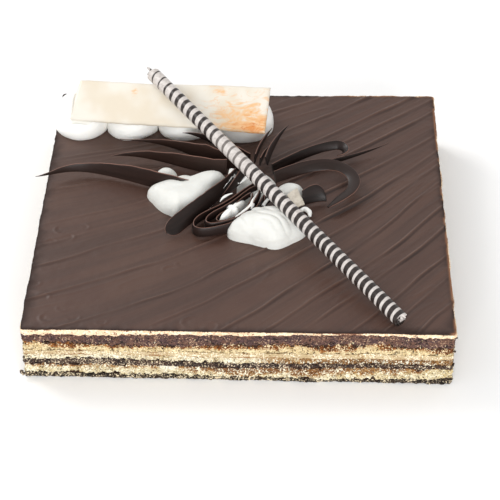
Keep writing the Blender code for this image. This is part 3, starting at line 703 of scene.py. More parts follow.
def build_glaze():
    step = 0.67
    xy, nor, run, counts = perimeter(step)
    nx, ny = counts[0], counts[1]
    n = len(xy)
    z_lo = joint(7, xy[:, 0], xy[:, 1], run)
    xyz = np.concatenate([xy, np.zeros((n, 1))], -1)
    wob = wobble(np.concatenate([xy, np.full((n, 1), 27.5)], -1))
    rim = 0.12 + 0.16 * fbm(xyz, 3.2, 221, 3) + 0.10 * fbm(xyz, 12.0, 223, 2)
    # the top grid, from the same border points
    u, v = np.meshgrid(np.arange(nx + 1) / nx, np.arange(ny + 1) / ny, indexing="ij")
    gx = np.zeros_like(u)
    gy = np.zeros_like(u)
    for (i, j), (cx, cy) in CORNERS.items():
        w = (u if i else 1 - u) * (v if j else 1 - v)
        gx += w * cx
        gy += w * cy
    d = edge_distance(gx, gy)
    relief, cross, near_d, tall = glaze_relief(gx, gy)
    p = np.stack([gx, gy, np.zeros_like(gx)], -1)
    lumps = 0.05 * fbm(p, 9.0, 231, 3) + 0.035 * fbm(p, 2.2, 233, 2)
    near = np.exp(-np.maximum(d, 0) / 2.6)
    ruck = 0.34 * near * fbm(p, 2.8, 235, 3)                          # rucked edge
    top = TOP - 0.30 + np.minimum(1.15 * relief, 0.80) + lumps + ruck
    top -= 0.18 * np.exp(-(np.maximum(d, 0) / 0.75) ** 1.6)           # rounded arris
    # small curls left by the tip of the knife near the front left corner
    for cx, cy, r, h in ((-84.0, -84.5, 3.4, 0.36), (-72.5, -84.0, 3.0, 0.32), (-87.5, -70.5, 3.0, 0.26),
                         (-60.0, -86.5, 2.6, 0.28), (-78.0, -78.0, 2.4, 0.24), (-92.0, -61.0, 2.4, 0.24),
                         (-20.0, -86.0, 4.6, 0.28), (-11.5, -88.0, 3.0, 0.26), (-84.0, -22.0, 3.4, 0.36),
                         (-80.5, -27.5, 3.0, 0.30), (-88.0, -31.0, 2.6, 0.26), (-74.0, -20.0, 2.6, 0.24),
                         (-32.0, -50.0, 3.2, 0.30), (-27.0, -46.0, 2.4, 0.26), (60.0, -89.0, 4.0, 0.2),
                         (-1.0, -87.5, 3.4, 0.22), (86.0, -66.0, 3.0, 0.2)):
        rr = np.hypot(gx - cx, (gy - cy) * 1.25)
        ang = np.arctan2(gy - cy, gx - cx)
        arc_on = smooth(-0.4, 0.7, np.sin(ang + cx))
        top += h * np.exp(-((rr - r) / 0.55) ** 2) * arc_on
        top -= 0.5 * h * np.exp(-((rr - r * 0.55) / 0.9) ** 2) * arc_on
    top = np.minimum(top, TOP + 0.45)
    # border points of the grid in perimeter order
    border = ([(i, 0) for i in range(nx)] + [(nx, j) for j in range(ny)]
              + [(i, ny) for i in range(nx, 0, -1)] + [(0, j) for j in range(ny, 0, -1)])
    bi = np.array([a * (ny + 1) + b for a, b in border])
    flat = np.stack([gx, gy, top], -1).reshape(-1, 3)
    flat[bi, 2] = np.maximum(flat[bi, 2], z_lo + 0.14)
    z_rim = flat[bi, 2]
    # wall rows: foot, bulge, shoulder
    rows = []
    for f, out in ((-1.0, 0.0), (0.0, -0.12), (0.35, 0.10), (0.72, 0.08)):
        if f < 0:
            rows.append(cap(xyz, 2.2, 27.4))
            continue
        q = xyz.copy()
        q[:, 2] = z_lo + (z_rim - z_lo) * f
        off = wob + rim + out - 0.1
        q[:, 0] += nor[:, 0] * off
        q[:, 1] += nor[:, 1] * off
        rows.append(q)
    off = wob + rim - 0.35
    flat[bi, 0] = xy[:, 0] + nor[:, 0] * off
    flat[bi, 1] = xy[:, 1] + nor[:, 1] * off
    wall = np.concatenate(rows)
    base = len(flat)
    verts = np.concatenate([flat, wall])
    i, j = np.meshgrid(np.arange(nx), np.arange(ny), indexing="ij")
    a = i * (ny + 1) + j
    quads = np.stack([a, a + ny + 1, a + ny + 2, a + 1], -1).reshape(-1, 4)
    side = grid_faces(4, n, wrap=True, base=base)
    k = np.arange(n)
    last = base + 3 * n
    join = np.stack([last + k, last + (k + 1) % n, bi[(k + 1) % n], bi[k]], -1)
    faces = [quads, side, join, (base + np.arange(n))[::-1]]
    cross_all = np.concatenate([cross.ravel(), np.tile(cross.ravel()[bi], 4)])
    along = (gx * 0.72 + gy * 0.62).ravel()
    along_all = np.concatenate([along, np.tile(along[bi], 4)])
    near_all = np.concatenate([near_d.ravel(), np.full(4 * n, 50.0)])
    tall_all = np.concatenate([tall.ravel(), np.zeros(4 * n)])
    q = np.stack([gx, gy, np.zeros_like(gx)], -1)
    wide = (1.0 + 0.9 * smooth(0.1, 0.6, fbm(q, 7.0, 251, 2))
            + (0.9 * smooth(-20, 90, gx) + 0.8 * smooth(55, 80, gx)) * smooth(-80, -90, gy)
            + (0.9 + 1.3 * smooth(0.0, 0.5, fbm(q, 4.0, 253, 2))) * smooth(-86, -92, gx))
    pale = (smooth(0.9, 0.2, d) * np.maximum(
        smooth(30.0, 50.0, gx) * smooth(88.0, 90.5, gy),
        smooth(90.0, 93.5, gx) * smooth(-0.1, 0.6, fbm(q, 6.0, 257, 3) + 0.25)))
    pale_all = np.concatenate([pale.ravel(), np.tile(pale.ravel()[bi], 4)])
    # rim_all: 1 on the side, fading inwards from the edge over `wide` mm; it drives the painted shade along the
    # glaze's edge and a rougher finish there
    rim_all = np.concatenate([np.exp(-(np.maximum(d, 0) / wide) ** 1.3).ravel(), np.ones(4 * n)])

    g = Graph("glaze", rough=0.42, spec=0.40)
    c3 = g.vec(g.math("MULTIPLY", g.attr("cross"), 1.0), g.math("MULTIPLY", g.attr("along"), 0.045), 0.0)
    scratch = g.noise(c3, 1.15, 4.0, 0.7)
    sweep = g.noise(c3, 6.0, 3.0, 0.6)
    cloud = g.noise(g.pos, 34.0, 3.0, 0.5)
    speck = g.noise(g.pos, 0.8, 3.0, 0.6)
    c = g.mix(g.span(cloud, 0.36, 0.64), GLAZE_A, GLAZE_B)
    c = g.mix(g.span(sweep, 0.38, 0.68), c, GLAZE_C)
    c = g.mix(g.math("MULTIPLY", g.span(scratch, 0.50, 0.72), 0.35), c, GLAZE_D)
    near_, tall_ = g.attr("near"), g.attr("tall")
    crest = g.math("MULTIPLY", g.span(g.math("ABSOLUTE", g.math("SUBTRACT", near_, 0.35)), 0.75, 0.0), tall_)
    gully_shade = g.math("MULTIPLY", g.span(g.math("ABSOLUTE", g.math("ADD", near_, 1.0)), 1.0, 0.0), tall_)
    # painted highlight: the crest of each burr is lightened, as light catching it
    c = g.mix(g.math("MULTIPLY", crest, 0.72), c, GLAZE_CREST_HIGHLIGHT)
    # painted shade: the hollow below each burr is darkened, as the shaded side of the ridge
    c = g.mix(g.math("MULTIPLY", gully_shade, 0.64), c, GLAZE_GULLY_SHADE)
    # painted shade: the glaze is darkened along its edge and down its side, so the arris looks less lit
    c = g.mix(g.math("MULTIPLY", g.attr("rim"), 0.85), c, GLAZE_RIM_SHADE)
    c = g.mix(g.math("MULTIPLY", g.attr("pale"), 0.8), c, srgb(150, 104, 74))
    g.colour(c)
    g.rough(g.math("ADD", g.math("ADD", g.math("MULTIPLY", sweep, 0.16), 0.36),
                   g.math("MULTIPLY", g.attr("rim"), 0.45)))
    g.bump(g.math("ADD", g.math("ADD", g.math("MULTIPLY", scratch, 0.5), g.math("MULTIPLY", speck, 0.30)),
                  g.math("MULTIPLY", crest, 1.6)), 0.14, 0.6)
    piece("glaze_top", verts, faces, g.mat, "glaze",
          {"cross": cross_all, "along": along_all, "near": near_all, "tall": tall_all, "rim": rim_all,
           "pale": pale_all}, sharp=70)


GLAZE_A = srgb(77, 53, 44)
GLAZE_B = srgb(82, 58, 48)
GLAZE_C = srgb(70, 49, 41)
GLAZE_D = srgb(86, 63, 53)
# painted highlight colour for the crests of the burrs
GLAZE_CREST_HIGHLIGHT = srgb(112, 88, 77)
# painted shade colour for the hollows beside the burrs
GLAZE_GULLY_SHADE = srgb(34, 22, 19)
# painted shade colour for the glaze's edge and side
GLAZE_RIM_SHADE = srgb(33, 20, 17)


# ================================================================ the cream
DOME_TOP, DOME_Y = 16.5, 64.0
DOMES = [(-82.7, 14.4, 1.00), (-57.4, 14.2, 0.98), (-30.6, 14.4, 1.00), (-2.8, 15.8, 0.97)]
CREASES = (-69.4, -44.6, -17.4)
PLAQUE_LENGTH, PLAQUE_THICK = 96.0, 2.4
PLAQUE_WIDTHS = (21.4, 24.6)
PLAQUE_TILT, PLAQUE_YAW = math.radians(29.0), math.radians(-3.9)
PLAQUE_C = np.array((-37.6, 58.7, 44.0))
PLAQUE_X = np.array((math.cos(PLAQUE_YAW), math.sin(PLAQUE_YAW), 0.0))
PLAQUE_Y = np.array((-math.sin(PLAQUE_YAW) * math.cos(PLAQUE_TILT),
                     math.cos(PLAQUE_YAW) * math.cos(PLAQUE_TILT), math.sin(PLAQUE_TILT)))
PLAQUE_Z = np.cross(PLAQUE_X, PLAQUE_Y)
PENCIL_LENGTH, PENCIL_DIA, FILM = 200.0, 7.5, 0.85
PENCIL_NEAR = np.array((71.0, -87.8, TOP + PENCIL_DIA / 2 + GAP))
PENCIL_FAR = np.array((-48.6, 72.4, 54.9))
PENCIL_TURNS = 2.2


def cream_material(name, a, b, c3):
    g = Graph(name, rough=0.48, spec=0.30, subsurface=0.12, radius=(1.0, 0.85, 0.7),
              sss_scale=0.0035)
    p = g.pos
    soft = g.noise(p, 9.0, 2.0, 0.5)
    fine = g.noise(p, 1.1, 3.0, 0.55)
    c = g.mix(g.span(soft, 0.35, 0.65), a, b)
    c = g.mix(g.math("MULTIPLY", g.span(fine, 0.55, 0.72), 0.4), c, c3)
    g.colour(c)
    g.bump(g.math("ADD", g.math("MULTIPLY", soft, 0.5), g.math("MULTIPLY", fine, 0.25)), 0.30, 0.35)
    return g.mat


# two copies of one cream: a dimmer one for the spoonfuls in full light, and a brighter one, painted light, for cream
# lying in shade under the plaque, between the blades and inside the petal
MAT_CREAM = cream_material("whipped_cream", srgb(223, 223, 218), srgb(217, 217, 212), srgb(229, 229, 225))
MAT_CREAM_PAINTED_LIGHT = cream_material("whipped_cream_painted_light", srgb(252, 251, 246), srgb(249, 248, 243), srgb(253, 252, 249))


def mound(name, node, centre, radius, height, top_rise=0.0, rings=44, spokes=132, ripple=0.25,
          seed=0, fit=None, foot=TOP - 0.55, base=TOP + GAP, mat=None):
    """A soft mound, finely meshed. radius(theta) and height(theta, q) are the
    CAD's own outline and profile; fit(p) may press it down."""
    cx, cy = centre
    th = np.arange(spokes) / spokes * 2 * math.pi
    rad = np.array([radius(t) for t in th])
    qs = np.sin(0.5 * math.pi * np.arange(1, rings + 1) / rings)
    pts = []
    for q in qs:
        hh = np.array([height(t, q) for t in th])
        r = rad * q
        pts.append(np.stack([cx + r * np.cos(th), cy + r * np.sin(th), base + hh], -1))
    p = np.stack(pts)
    peak = np.array([[cx, cy, base + height(0.0, 0.0)]])
    # the foot bulges a little, then turns in under itself
    skirt = []
    last = p[-1]
    for f, out in ((0.55, 0.16), (0.15, 0.05), (0.0, -0.35)):
        s = last.copy()
        s[:, 0] += np.cos(th) * out
        s[:, 1] += np.sin(th) * out
        s[:, 2] = foot + (last[:, 2] - foot) * f
        skirt.append(s)
    p = np.concatenate([p, np.stack(skirt)])
    flat = np.concatenate([peak, p.reshape(-1, 3)])
    n = fbm(flat, 8.5, 301 + seed, 3)
    n2 = fbm(flat * (1, 1, 1.6), 3.6, 305 + seed, 2)
    d = flat[:, :2] - np.array([cx, cy])
    ln = np.maximum(np.hypot(d[:, 0], d[:, 1]), 1e-3)
    level = np.clip((flat[:, 2] - foot) / 4.0, 0, 1)
    push = ripple * (n + 0.35 * n2)
    flat[:, 2] += push * level
    side = np.clip(ln / (rad.mean() * 0.9), 0, 1) ** 3
    flat[:, 0] += d[:, 0] / ln * push * side * 0.8
    flat[:, 1] += d[:, 1] / ln * push * side * 0.8
    if fit is not None:
        flat = fit(flat)
    m = len(p)
    fan = np.stack([np.zeros(spokes, int), 1 + np.arange(spokes), 1 + (np.arange(spokes) + 1) % spokes], -1)
    body = grid_faces(m, spokes, wrap=True, base=1)[:, ::-1]
    under = np.arange(1 + (m - 1) * spokes, 1 + m * spokes)[::-1]
    return piece(name, flat, [fan, body, under], mat or MAT_CREAM, node)


def lobe(th, at, width):
    d = (math.degrees(th) - at + 180.0) % 360.0 - 180.0
    return math.exp(-(d / width) ** 2)


def under_plaque(p):
    """Presses cream down to just under the plaque lying on it."""
    rel = p - PLAQUE_C
    a, b = rel @ PLAQUE_X, rel @ PLAQUE_Y
    # height of the plaque's lower face over each point in plan
    plane = PLAQUE_C[2] - PLAQUE_THICK / 2 / PLAQUE_Z[2] \
        - (PLAQUE_Z[0] * rel[:, 0] + PLAQUE_Z[1] * rel[:, 1]) / PLAQUE_Z[2]
    inside = (smooth(PLAQUE_LENGTH / 2 + 1.2, PLAQUE_LENGTH / 2 - 0.2, np.abs(a))
              * smooth(12.9, 11.6, np.abs(b)))
    limit = plane - 0.12
    z = p[:, 2]
    pressed = np.where(z > limit, limit, z)
    out = p.copy()
    out[:, 2] = z + (pressed - z) * inside
    return out


def build_row():
    for i, (cx, r0, hf) in enumerate(DOMES):
        left = CREASES[i - 1] + 0.02 if i > 0 else -1e9
        right = CREASES[i] - 0.02 if i < len(CREASES) else 1e9

        def radius(th, cx=cx, r0=r0, i=i, left=left, right=right):
            r = r0 * (1 + 0.03 * math.sin(3 * th + i))
            c = math.cos(th)
            if c > 1e-6:
                r = min(r, (right - cx) / c)
            if c < -1e-6:
                r = min(r, (left - cx) / c)
            return r

        def height(th, q, r0=r0, hf=hf, radius=radius):
            d = radius(th) * q / (r0 * 1.04)
            return 0.3 + (DOME_TOP * hf - 0.3) * math.sqrt(max(0.0, 1.0 - d ** 2.3))

        # the row takes the brighter cream, painted light against the plaque's shadow on it
        mound("cream_row_%d_piped" % (i + 1), "cream_row_%d" % (i + 1), (cx, DOME_Y), radius,
              height, seed=10 * i, ripple=0.16, fit=under_plaque, rings=60, spokes=192, mat=MAT_CREAM_PAINTED_LIGHT)


def left_main(th):
    return (11.8 + 3.5 * lobe(th, 322.0, 40.0) + 12.6 * lobe(th, 33.0, 16.0) + 3.5 * lobe(th, 5.0, 24.0)
            + 2.6 * lobe(th, 75.0, 20.0) + 4.2 * lobe(th, 162.0, 24.0) + 1.5 * lobe(th, 268.0, 11.0))


def left_radius(th):
    return left_main(th) + 7.2 * lobe(th, 117.0, 20.0)


def left_height(th, q):
    """The main spoonful, and a small one behind it at the back left."""
    r = left_radius(th) * q
    x, y = r * math.cos(th), r * math.sin(th)
    body = (8.3 + 0.085 * max(-14.0, min(16.0, x)) + 0.05 * max(0.0, y)) \
        * math.sqrt(max(0.0, 1 - min(1.0, r / left_main(th)) ** (3.0 + 3.0 * lobe(th, 33.0, 24.0))))
    d = math.hypot(x + 7.0, y - 12.8) / 6.0
    small = 8.1 * math.sqrt(max(0.0, 1 - min(1.0, d) ** 2.4))
    return 0.3 + (body ** 6 + small ** 6) ** (1 / 6)


def front_radius(th):
    return (11.6 + 7.0 * lobe(th, 10.0, 42.0) + 7.6 * lobe(th, 190.0, 24.0) + 2.2 * lobe(th, 160.0, 10.0)
            + 1.6 * lobe(th, 130.0, 12.0) + 1.6 * lobe(th, 292.0, 26.0))


def folds(p):
    """Soft folds left by the spoon on the front spoonful."""
    out = p.copy()
    x, y = p[:, 0], p[:, 1]
    q = np.stack([x, y, np.zeros_like(x)], -1)
    warp = 4.0 * fbm(q, 13.0, 341, 2)
    a = (x * 0.62 + y * 0.78 + warp) / 5.2
    ridge = 0.5 + 0.5 * np.cos(2 * math.pi * a)
    edge = smooth(31.0, 36.0, p[:, 2])
    out[:, 2] -= 0.42 * ridge ** 2 * edge * smooth(-0.6, 0.5, fbm(q, 9.0, 343, 2))
    return out


def build_dollops():
    mound("cream_left_piped", "cream_left", (-30.5, 1.0), left_radius, left_height,
          seed=61, ripple=0.22, rings=56, spokes=180)
    mound("cream_front_piped", "cream_front", (12.2, -21.8), front_radius,
          lambda th, q: 0.3 + 10.9 * math.sqrt(max(0.0, 1 - q ** 2.4)), seed=71, ripple=0.34, fit=folds,
          rings=60, spokes=180)
    mound("cream_centre_spread", "cream_centre", (5.0, 9.0),
          lambda th: (11.6 + 2.4 * lobe(th, 80.0, 40.0) - 3.0 * lobe(th, 335.0, 50.0)
                      - 3.4 * lobe(th, 172.0, 38.0) + 0.4 * math.sin(5 * th)),
          lambda th, q: 0.3 + 1.6 * math.sqrt(max(0.0, 1 - q ** 3.0)), seed=81, ripple=0.25)
    # the lens inside the petal takes the brighter cream, painted light against the petal's shade
    mound("cream_inner_piped", "cream_inner", (-4.7, -11.0),
          lambda th: 1.9 + 8.8 * lobe(th, 234.0, 19.0) + 8.4 * lobe(th, 54.0, 19.0)
          + 2.0 * lobe(th, 144.0, 55.0) + 1.7 * lobe(th, 324.0, 55.0),
          lambda th, q: 0.3 + 5.5 * (1 - q ** 6.0), seed=91, ripple=0.10,
          rings=30, spokes=120, mat=MAT_CREAM_PAINTED_LIGHT)
    mound("cream_right_piped", "cream_right", (21.6, 5.6),
          lambda th: 5.2 + 1.8 * lobe(th, 10.0, 40.0) + 1.4 * lobe(th, 190.0, 40.0) + 1.6 * lobe(th, 290.0, 40.0),
          lambda th, q: 0.3 + 5.6 * math.sqrt(max(0.0, 1 - q ** 3.0)), seed=95, ripple=0.2,
          rings=30, spokes=96)


def tube(path, radii, n=10, fine=8):
    """A round strand along smooth points, closed at both ends."""
    path, radii = np.array(path, float), np.array(radii, float)
    t = np.linspace(0, len(path) - 1, (len(path) - 1) * fine + 1)
    i = np.minimum(t.astype(int), len(path) - 2)
    f = (t - i)[:, None]
    ext = np.concatenate([[2 * path[0] - path[1]], path, [2 * path[-1] - path[-2]]])
    p0, p1, p2, p3 = ext[i], ext[i + 1], ext[i + 2], ext[i + 3]
    c = 0.5 * (2 * p1 + (p2 - p0) * f + (2 * p0 - 5 * p1 + 4 * p2 - p3) * f ** 2
               + (3 * p1 - p0 - 3 * p2 + p3) * f ** 3)
    r = np.interp(t, np.arange(len(path)), radii)
    d = np.gradient(c, axis=0)
    d /= np.linalg.norm(d, axis=1, keepdims=True)
    side = np.cross(d, (0, 0, 1.0))
    side /= np.maximum(np.linalg.norm(side, axis=1, keepdims=True), 1e-6)
    up = np.cross(side, d)
    a = np.arange(n) / n * 2 * math.pi
    v = (c[:, None] + (r[:, None] * np.cos(a)[None])[..., None] * side[:, None]
         + (r[:, None] * np.sin(a)[None])[..., None] * up[:, None])
    m = len(c)
    return v.reshape(-1, 3), [grid_faces(m, n, wrap=True), np.arange(n)[::-1], np.arange((m - 1) * n, m * n)]


STRANDS = [   # points along each trail of cream, mm, and its radii
    ([(-9.8, 2.8, 35.3), (-8.5, 6.1, 35.8), (-6.9, 10.1, 36.2), (-5.7, 15.0, 36.6)], (0.15, 0.7, 1.2, 1.7)),
    ([(-2.3, 7.1, 35.2), (-3.8, 9.7, 35.6), (-5.1, 12.7, 36.0)], (0.2, 0.55, 0.8)),
    ([(-1.8, 6.8, 35.4), (0.0, 9.2, 35.8), (2.1, 12.2, 36.2)], (0.2, 0.7, 1.3)),
    ([(-3.1, -18.1, 34.3), (0.8, -14.4, 34.8), (4.0, -10.5, 35.2), (4.7, -6.3, 35.4), (7.2, -1.3, 35.8),
      (9.8, 0.7, 36.0)], (0.5, 1.0, 1.3, 0.8, 0.8, 0.5)),
    ([(9.4, -9.2, 34.3), (10.6, -6.5, 34.8), (12.9, -2.7, 35.2)], (0.9, 0.8, 0.6)),
    ([(-8.6, -22.0, 31.3), (-5.4, -20.7, 31.6)], (0.5, 0.6)),
    ([(-10.8, -7.0, 34.9), (-9.7, -4.7, 35.2), (-8.3, -3.2, 35.4), (-5.0, -1.0, 35.5)], (0.15, 0.55, 0.65, 0.2)),
    ([(27.0, -7.5, 30.6), (29.2, -6.6, 31.0), (31.2, -8.6, 30.8), (31.5, -11.4, 30.2)], (0.7, 1.2, 1.2, 0.6)),
]


def build_strands():
    """Trails of cream left between the blades, joined in one piece, and the
    flat chip of ivory chocolate beside the pencil."""
    vs, fs, base = [], [], 0
    for path, radii in STRANDS:
        v, f = tube(path, radii)
        # faces out: the sign of the volume tells
        a = v[f[0]]
        vol = np.einsum("ij,ij->i", a[:, 0], np.cross(a[:, 1], a[:, 2])).sum() \
            + np.einsum("ij,ij->i", a[:, 0], np.cross(a[:, 2], a[:, 3])).sum()
        mid = v.mean(0)
        b = a - mid
        vol = (np.einsum("ij,ij->i", b[:, 0], np.cross(b[:, 1], b[:, 2])).sum()
               + np.einsum("ij,ij->i", b[:, 0], np.cross(b[:, 2], b[:, 3])).sum())
        if vol < 0:
            f = [g[:, ::-1] if g.ndim == 2 else g[::-1] for g in f]
        v = v + 0.12 * fbm(v, 2.2, 351, 2)[:, None]
        vs.append(v)
        fs += [g + base for g in f]
        base += len(v)
    # the strands take the brighter cream, painted light against the shade of the pencil and blades
    piece("cream_strands", np.concatenate(vs), fs, MAT_CREAM_PAINTED_LIGHT, None)
    corner = np.array([(20.6, -1.2, 35.0), (25.3, 3.4, 35.4), (29.1, -4.4, 32.2), (25.1, -7.2, 31.8)])
    n = 12
    u, w = np.meshgrid(np.linspace(0, 1, n + 1), np.linspace(0, 1, n + 1), indexing="ij")
    top = ((1 - u) * (1 - w))[..., None] * corner[0] + ((1 - u) * w)[..., None] * corner[1] \
        + (u * w)[..., None] * corner[2] + (u * (1 - w))[..., None] * corner[3]
    top = top + (0.5 * np.sin(math.pi * w))[..., None] * np.array((0.2, 0.1, 0.9))
    top = top + 0.10 * fbm(top, 2.5, 361, 2)[..., None]
    up = np.cross(corner[3] - corner[0], corner[1] - corner[0])
    up /= np.linalg.norm(up)
    t = top.reshape(-1, 3)
    b = t - up * 1.1
    m = len(t)
    i, j = np.meshgrid(np.arange(n), np.arange(n), indexing="ij")
    k = i * (n + 1) + j
    q = np.stack([k, k + n + 1, k + n + 2, k + 1], -1).reshape(-1, 4)
    border = ([(i, 0) for i in range(n)] + [(n, j) for j in range(n)]
              + [(i, n) for i in range(n, 0, -1)] + [(0, j) for j in range(n, 0, -1)])
    bi = np.array([x * (n + 1) + y for x, y in border])
    kk = np.arange(len(bi))
    wall = np.stack([m + bi, m + bi[(kk + 1) % len(bi)], bi[(kk + 1) % len(bi)], bi], -1)
    piece("ivory_chip", np.concatenate([t, b]), [q, (q + m)[:, ::-1], wall], ivory_plain(), None, sharp=40)


def ivory_plain():
    g = Graph("ivory_chip", rough=0.45, spec=0.35)
    c = g.mix(g.span(g.noise(g.pos, 3.0, 3.0, 0.6), 0.35, 0.65), srgb(226, 217, 202), srgb(206, 196, 180))
    g.colour(c)
    g.bump(g.noise(g.pos, 1.0, 3.0, 0.6), 0.15, 0.5)
    return g.mat


# ================================================================ the plaque
def build_plaque():
    nu, nv = 150, 40
    u = np.linspace(0, 1, nu + 1)
    v = np.linspace(-1, 1, nv + 1)
    U, V = np.meshgrid(u, v, indexing="ij")
    hl = PLAQUE_LENGTH / 2

    def outline(U, V):
        hw = 0.5 * (PLAQUE_WIDTHS[0] + (PLAQUE_WIDTHS[1] - PLAQUE_WIDTHS[0]) * U)
        a = -hl + 2 * hl * U + V * 1.6 * (1 - U) + V * 0.4 * U
        wob = 0.22 * np.sin(9.0 * U + V)
        b = V * (hw + wob * np.abs(V))
        p = np.stack([a, b, np.zeros_like(a)], -1)
        rag = fbm(p, 5.0, 401, 3) * 0.28
        endness = np.maximum(smooth(0.97, 1.0, U), smooth(0.03, 0.0, U))
        a = a + rag * endness * 1.2
        b = b + fbm(p + 50, 6.0, 403, 3) * 0.26 * smooth(0.80, 1.0, np.abs(V)) * np.sign(V)
        return a, b

    a, b = outline(U, V)
    t = PLAQUE_THICK / 2
    p2 = np.stack([a, b, np.zeros_like(a)], -1)
    wave = 0.10 * fbm(p2, 14.0, 411, 3) + 0.05 * fbm(p2, 4.0, 413, 2)
    # rounded rim: the top drops near the outline
    eu = np.minimum(U, 1 - U) * PLAQUE_LENGTH
    ev = (1 - np.abs(V)) * 12.0
    e = np.minimum(eu, ev)
    drop = 0.55 * np.exp(-(e / 0.42) ** 1.3)
    top = t - drop + wave
    bot = -t + drop * 0.8

    def world(a, b, c):
        return (PLAQUE_C + a[..., None] * PLAQUE_X + b[..., None] * PLAQUE_Y + c[..., None] * PLAQUE_Z)
    P1 = world(a, b, top).reshape(-1, 3)
    P0 = world(a, b, bot).reshape(-1, 3)
    n = len(P1)
    i, j = np.meshgrid(np.arange(nu), np.arange(nv), indexing="ij")
    k = i * (nv + 1) + j
    quads = np.stack([k, k + nv + 1, k + nv + 2, k + 1], -1).reshape(-1, 4)
    border = ([(i, 0) for i in range(nu)] + [(nu, j) for j in range(nv)]
              + [(i, nv) for i in range(nu, 0, -1)] + [(0, j) for j in range(nv, 0, -1)])
    bi = np.array([x * (nv + 1) + y for x, y in border])
    m = len(bi)
    kk = np.arange(m)
    # the mid row of the rim bulges out a little
    mid = 0.5 * (P1[bi] + P0[bi])
    cen = PLAQUE_C
    out = P1[bi] - cen
    aa = out @ PLAQUE_X
    bb = out @ PLAQUE_Y
    dirx = np.where(np.abs(np.abs(aa) - hl) < 2.2, np.sign(aa), 0.0)
    diry = np.where(np.abs(bb) > 9.6, np.sign(bb), 0.0)
    nrm = dirx[:, None] * PLAQUE_X + diry[:, None] * PLAQUE_Y
    nrm /= np.maximum(np.linalg.norm(nrm, axis=1, keepdims=True), 1e-6)
    mid = mid + nrm * 0.28
    verts = np.concatenate([P1, P0, mid])
    j0 = np.stack([n + bi[kk], n + bi[(kk + 1) % m], 2 * n + (kk + 1) % m, 2 * n + kk], -1)
    j1 = np.stack([2 * n + kk, 2 * n + (kk + 1) % m, bi[(kk + 1) % m], bi[kk]], -1)
    faces = [quads, (quads + n)[:, ::-1], j0, j1]
    uu = np.concatenate([U.ravel(), U.ravel(), U.ravel()[bi]])
    vv = np.concatenate([V.ravel(), V.ravel(), V.ravel()[bi]]) * 0.5 + 0.5

    g = Graph("ivory_chocolate", rough=0.34, spec=0.42, subsurface=0.0)
    U_, V_ = g.attr("u"), g.attr("v")
    p = g.pos
    veins = g.noise(g.scaled(p, (0.7, 1.5, 1.5)), 6.5, 5.0, 0.68, 1.4)
    wisps = g.noise(g.scaled(p, (0.8, 1.6, 1.6)), 2.4, 4.0, 0.65, 0.8)
    cloud = g.noise(p, 16.0, 2.0, 0.5)
    # strongest at the lower right, a patch at the upper right, a touch mid left
    def blob(u0, v0, su, sv):
        du = g.math("DIVIDE", g.math("SUBTRACT", U_, u0), su)
        dv = g.math("DIVIDE", g.math("SUBTRACT", V_, v0), sv)
        r2 = g.math("ADD", g.math("MULTIPLY", du, du), g.math("MULTIPLY", dv, dv))
        return g.math("POWER", 2.718, g.math("MULTIPLY", r2, -1.0))
    main = g.math("MULTIPLY", blob(0.93, 0.12, 0.15, 0.36), 1.0)
    wide = g.math("MULTIPLY", blob(0.86, 0.30, 0.20, 0.55), 0.55)
    patch = g.math("MULTIPLY", blob(0.74, 0.86, 0.06, 0.14), 0.62)
    spot = g.math("MULTIPLY", blob(0.30, 0.82, 0.020, 0.14), 0.60)
    end = g.math("MULTIPLY", blob(1.0, 0.55, 0.05, 0.5), 0.45)
    m_ = g.math("MAXIMUM", g.math("MAXIMUM", main, wide), g.math("MAXIMUM", patch, g.math("MAXIMUM", spot, end)))
    t_ = g.math("ADD", m_, g.math("MULTIPLY", g.math("SUBTRACT", veins, 0.5), 2.1))
    c = g.mix(g.span(cloud, 0.35, 0.65), IVORY_A, IVORY_B)
    c = g.mix(g.math("MULTIPLY", g.span(t_, 0.22, 0.75), g.span(m_, 0.02, 0.25)), c, IVORY_PEACH)
    c = g.mix(g.math("MULTIPLY", g.span(t_, 0.72, 1.12), g.span(m_, 0.18, 0.5)), c, IVORY_ORANGE)
    w_ = g.math("ADD", main, g.math("MULTIPLY", g.math("SUBTRACT", wisps, 0.5), 1.8))
    c = g.mix(g.math("MULTIPLY", g.span(w_, 1.02, 1.30), 0.8), c, IVORY_DEEP)
    g.colour(c)
    g.bump(g.math("ADD", g.math("MULTIPLY", veins, 0.4), g.math("MULTIPLY", wisps, 0.3)), 0.12, 0.5)
    piece("plaque_marbled", verts, faces, g.mat, "plaque", {"u": uu, "v": vv}, sharp=60)


IVORY_A = srgb(229, 223, 211)
IVORY_B = srgb(221, 210, 191)
IVORY_PEACH = srgb(230, 186, 138)
IVORY_ORANGE = srgb(220, 144, 78)
IVORY_DEEP = srgb(206, 112, 46)


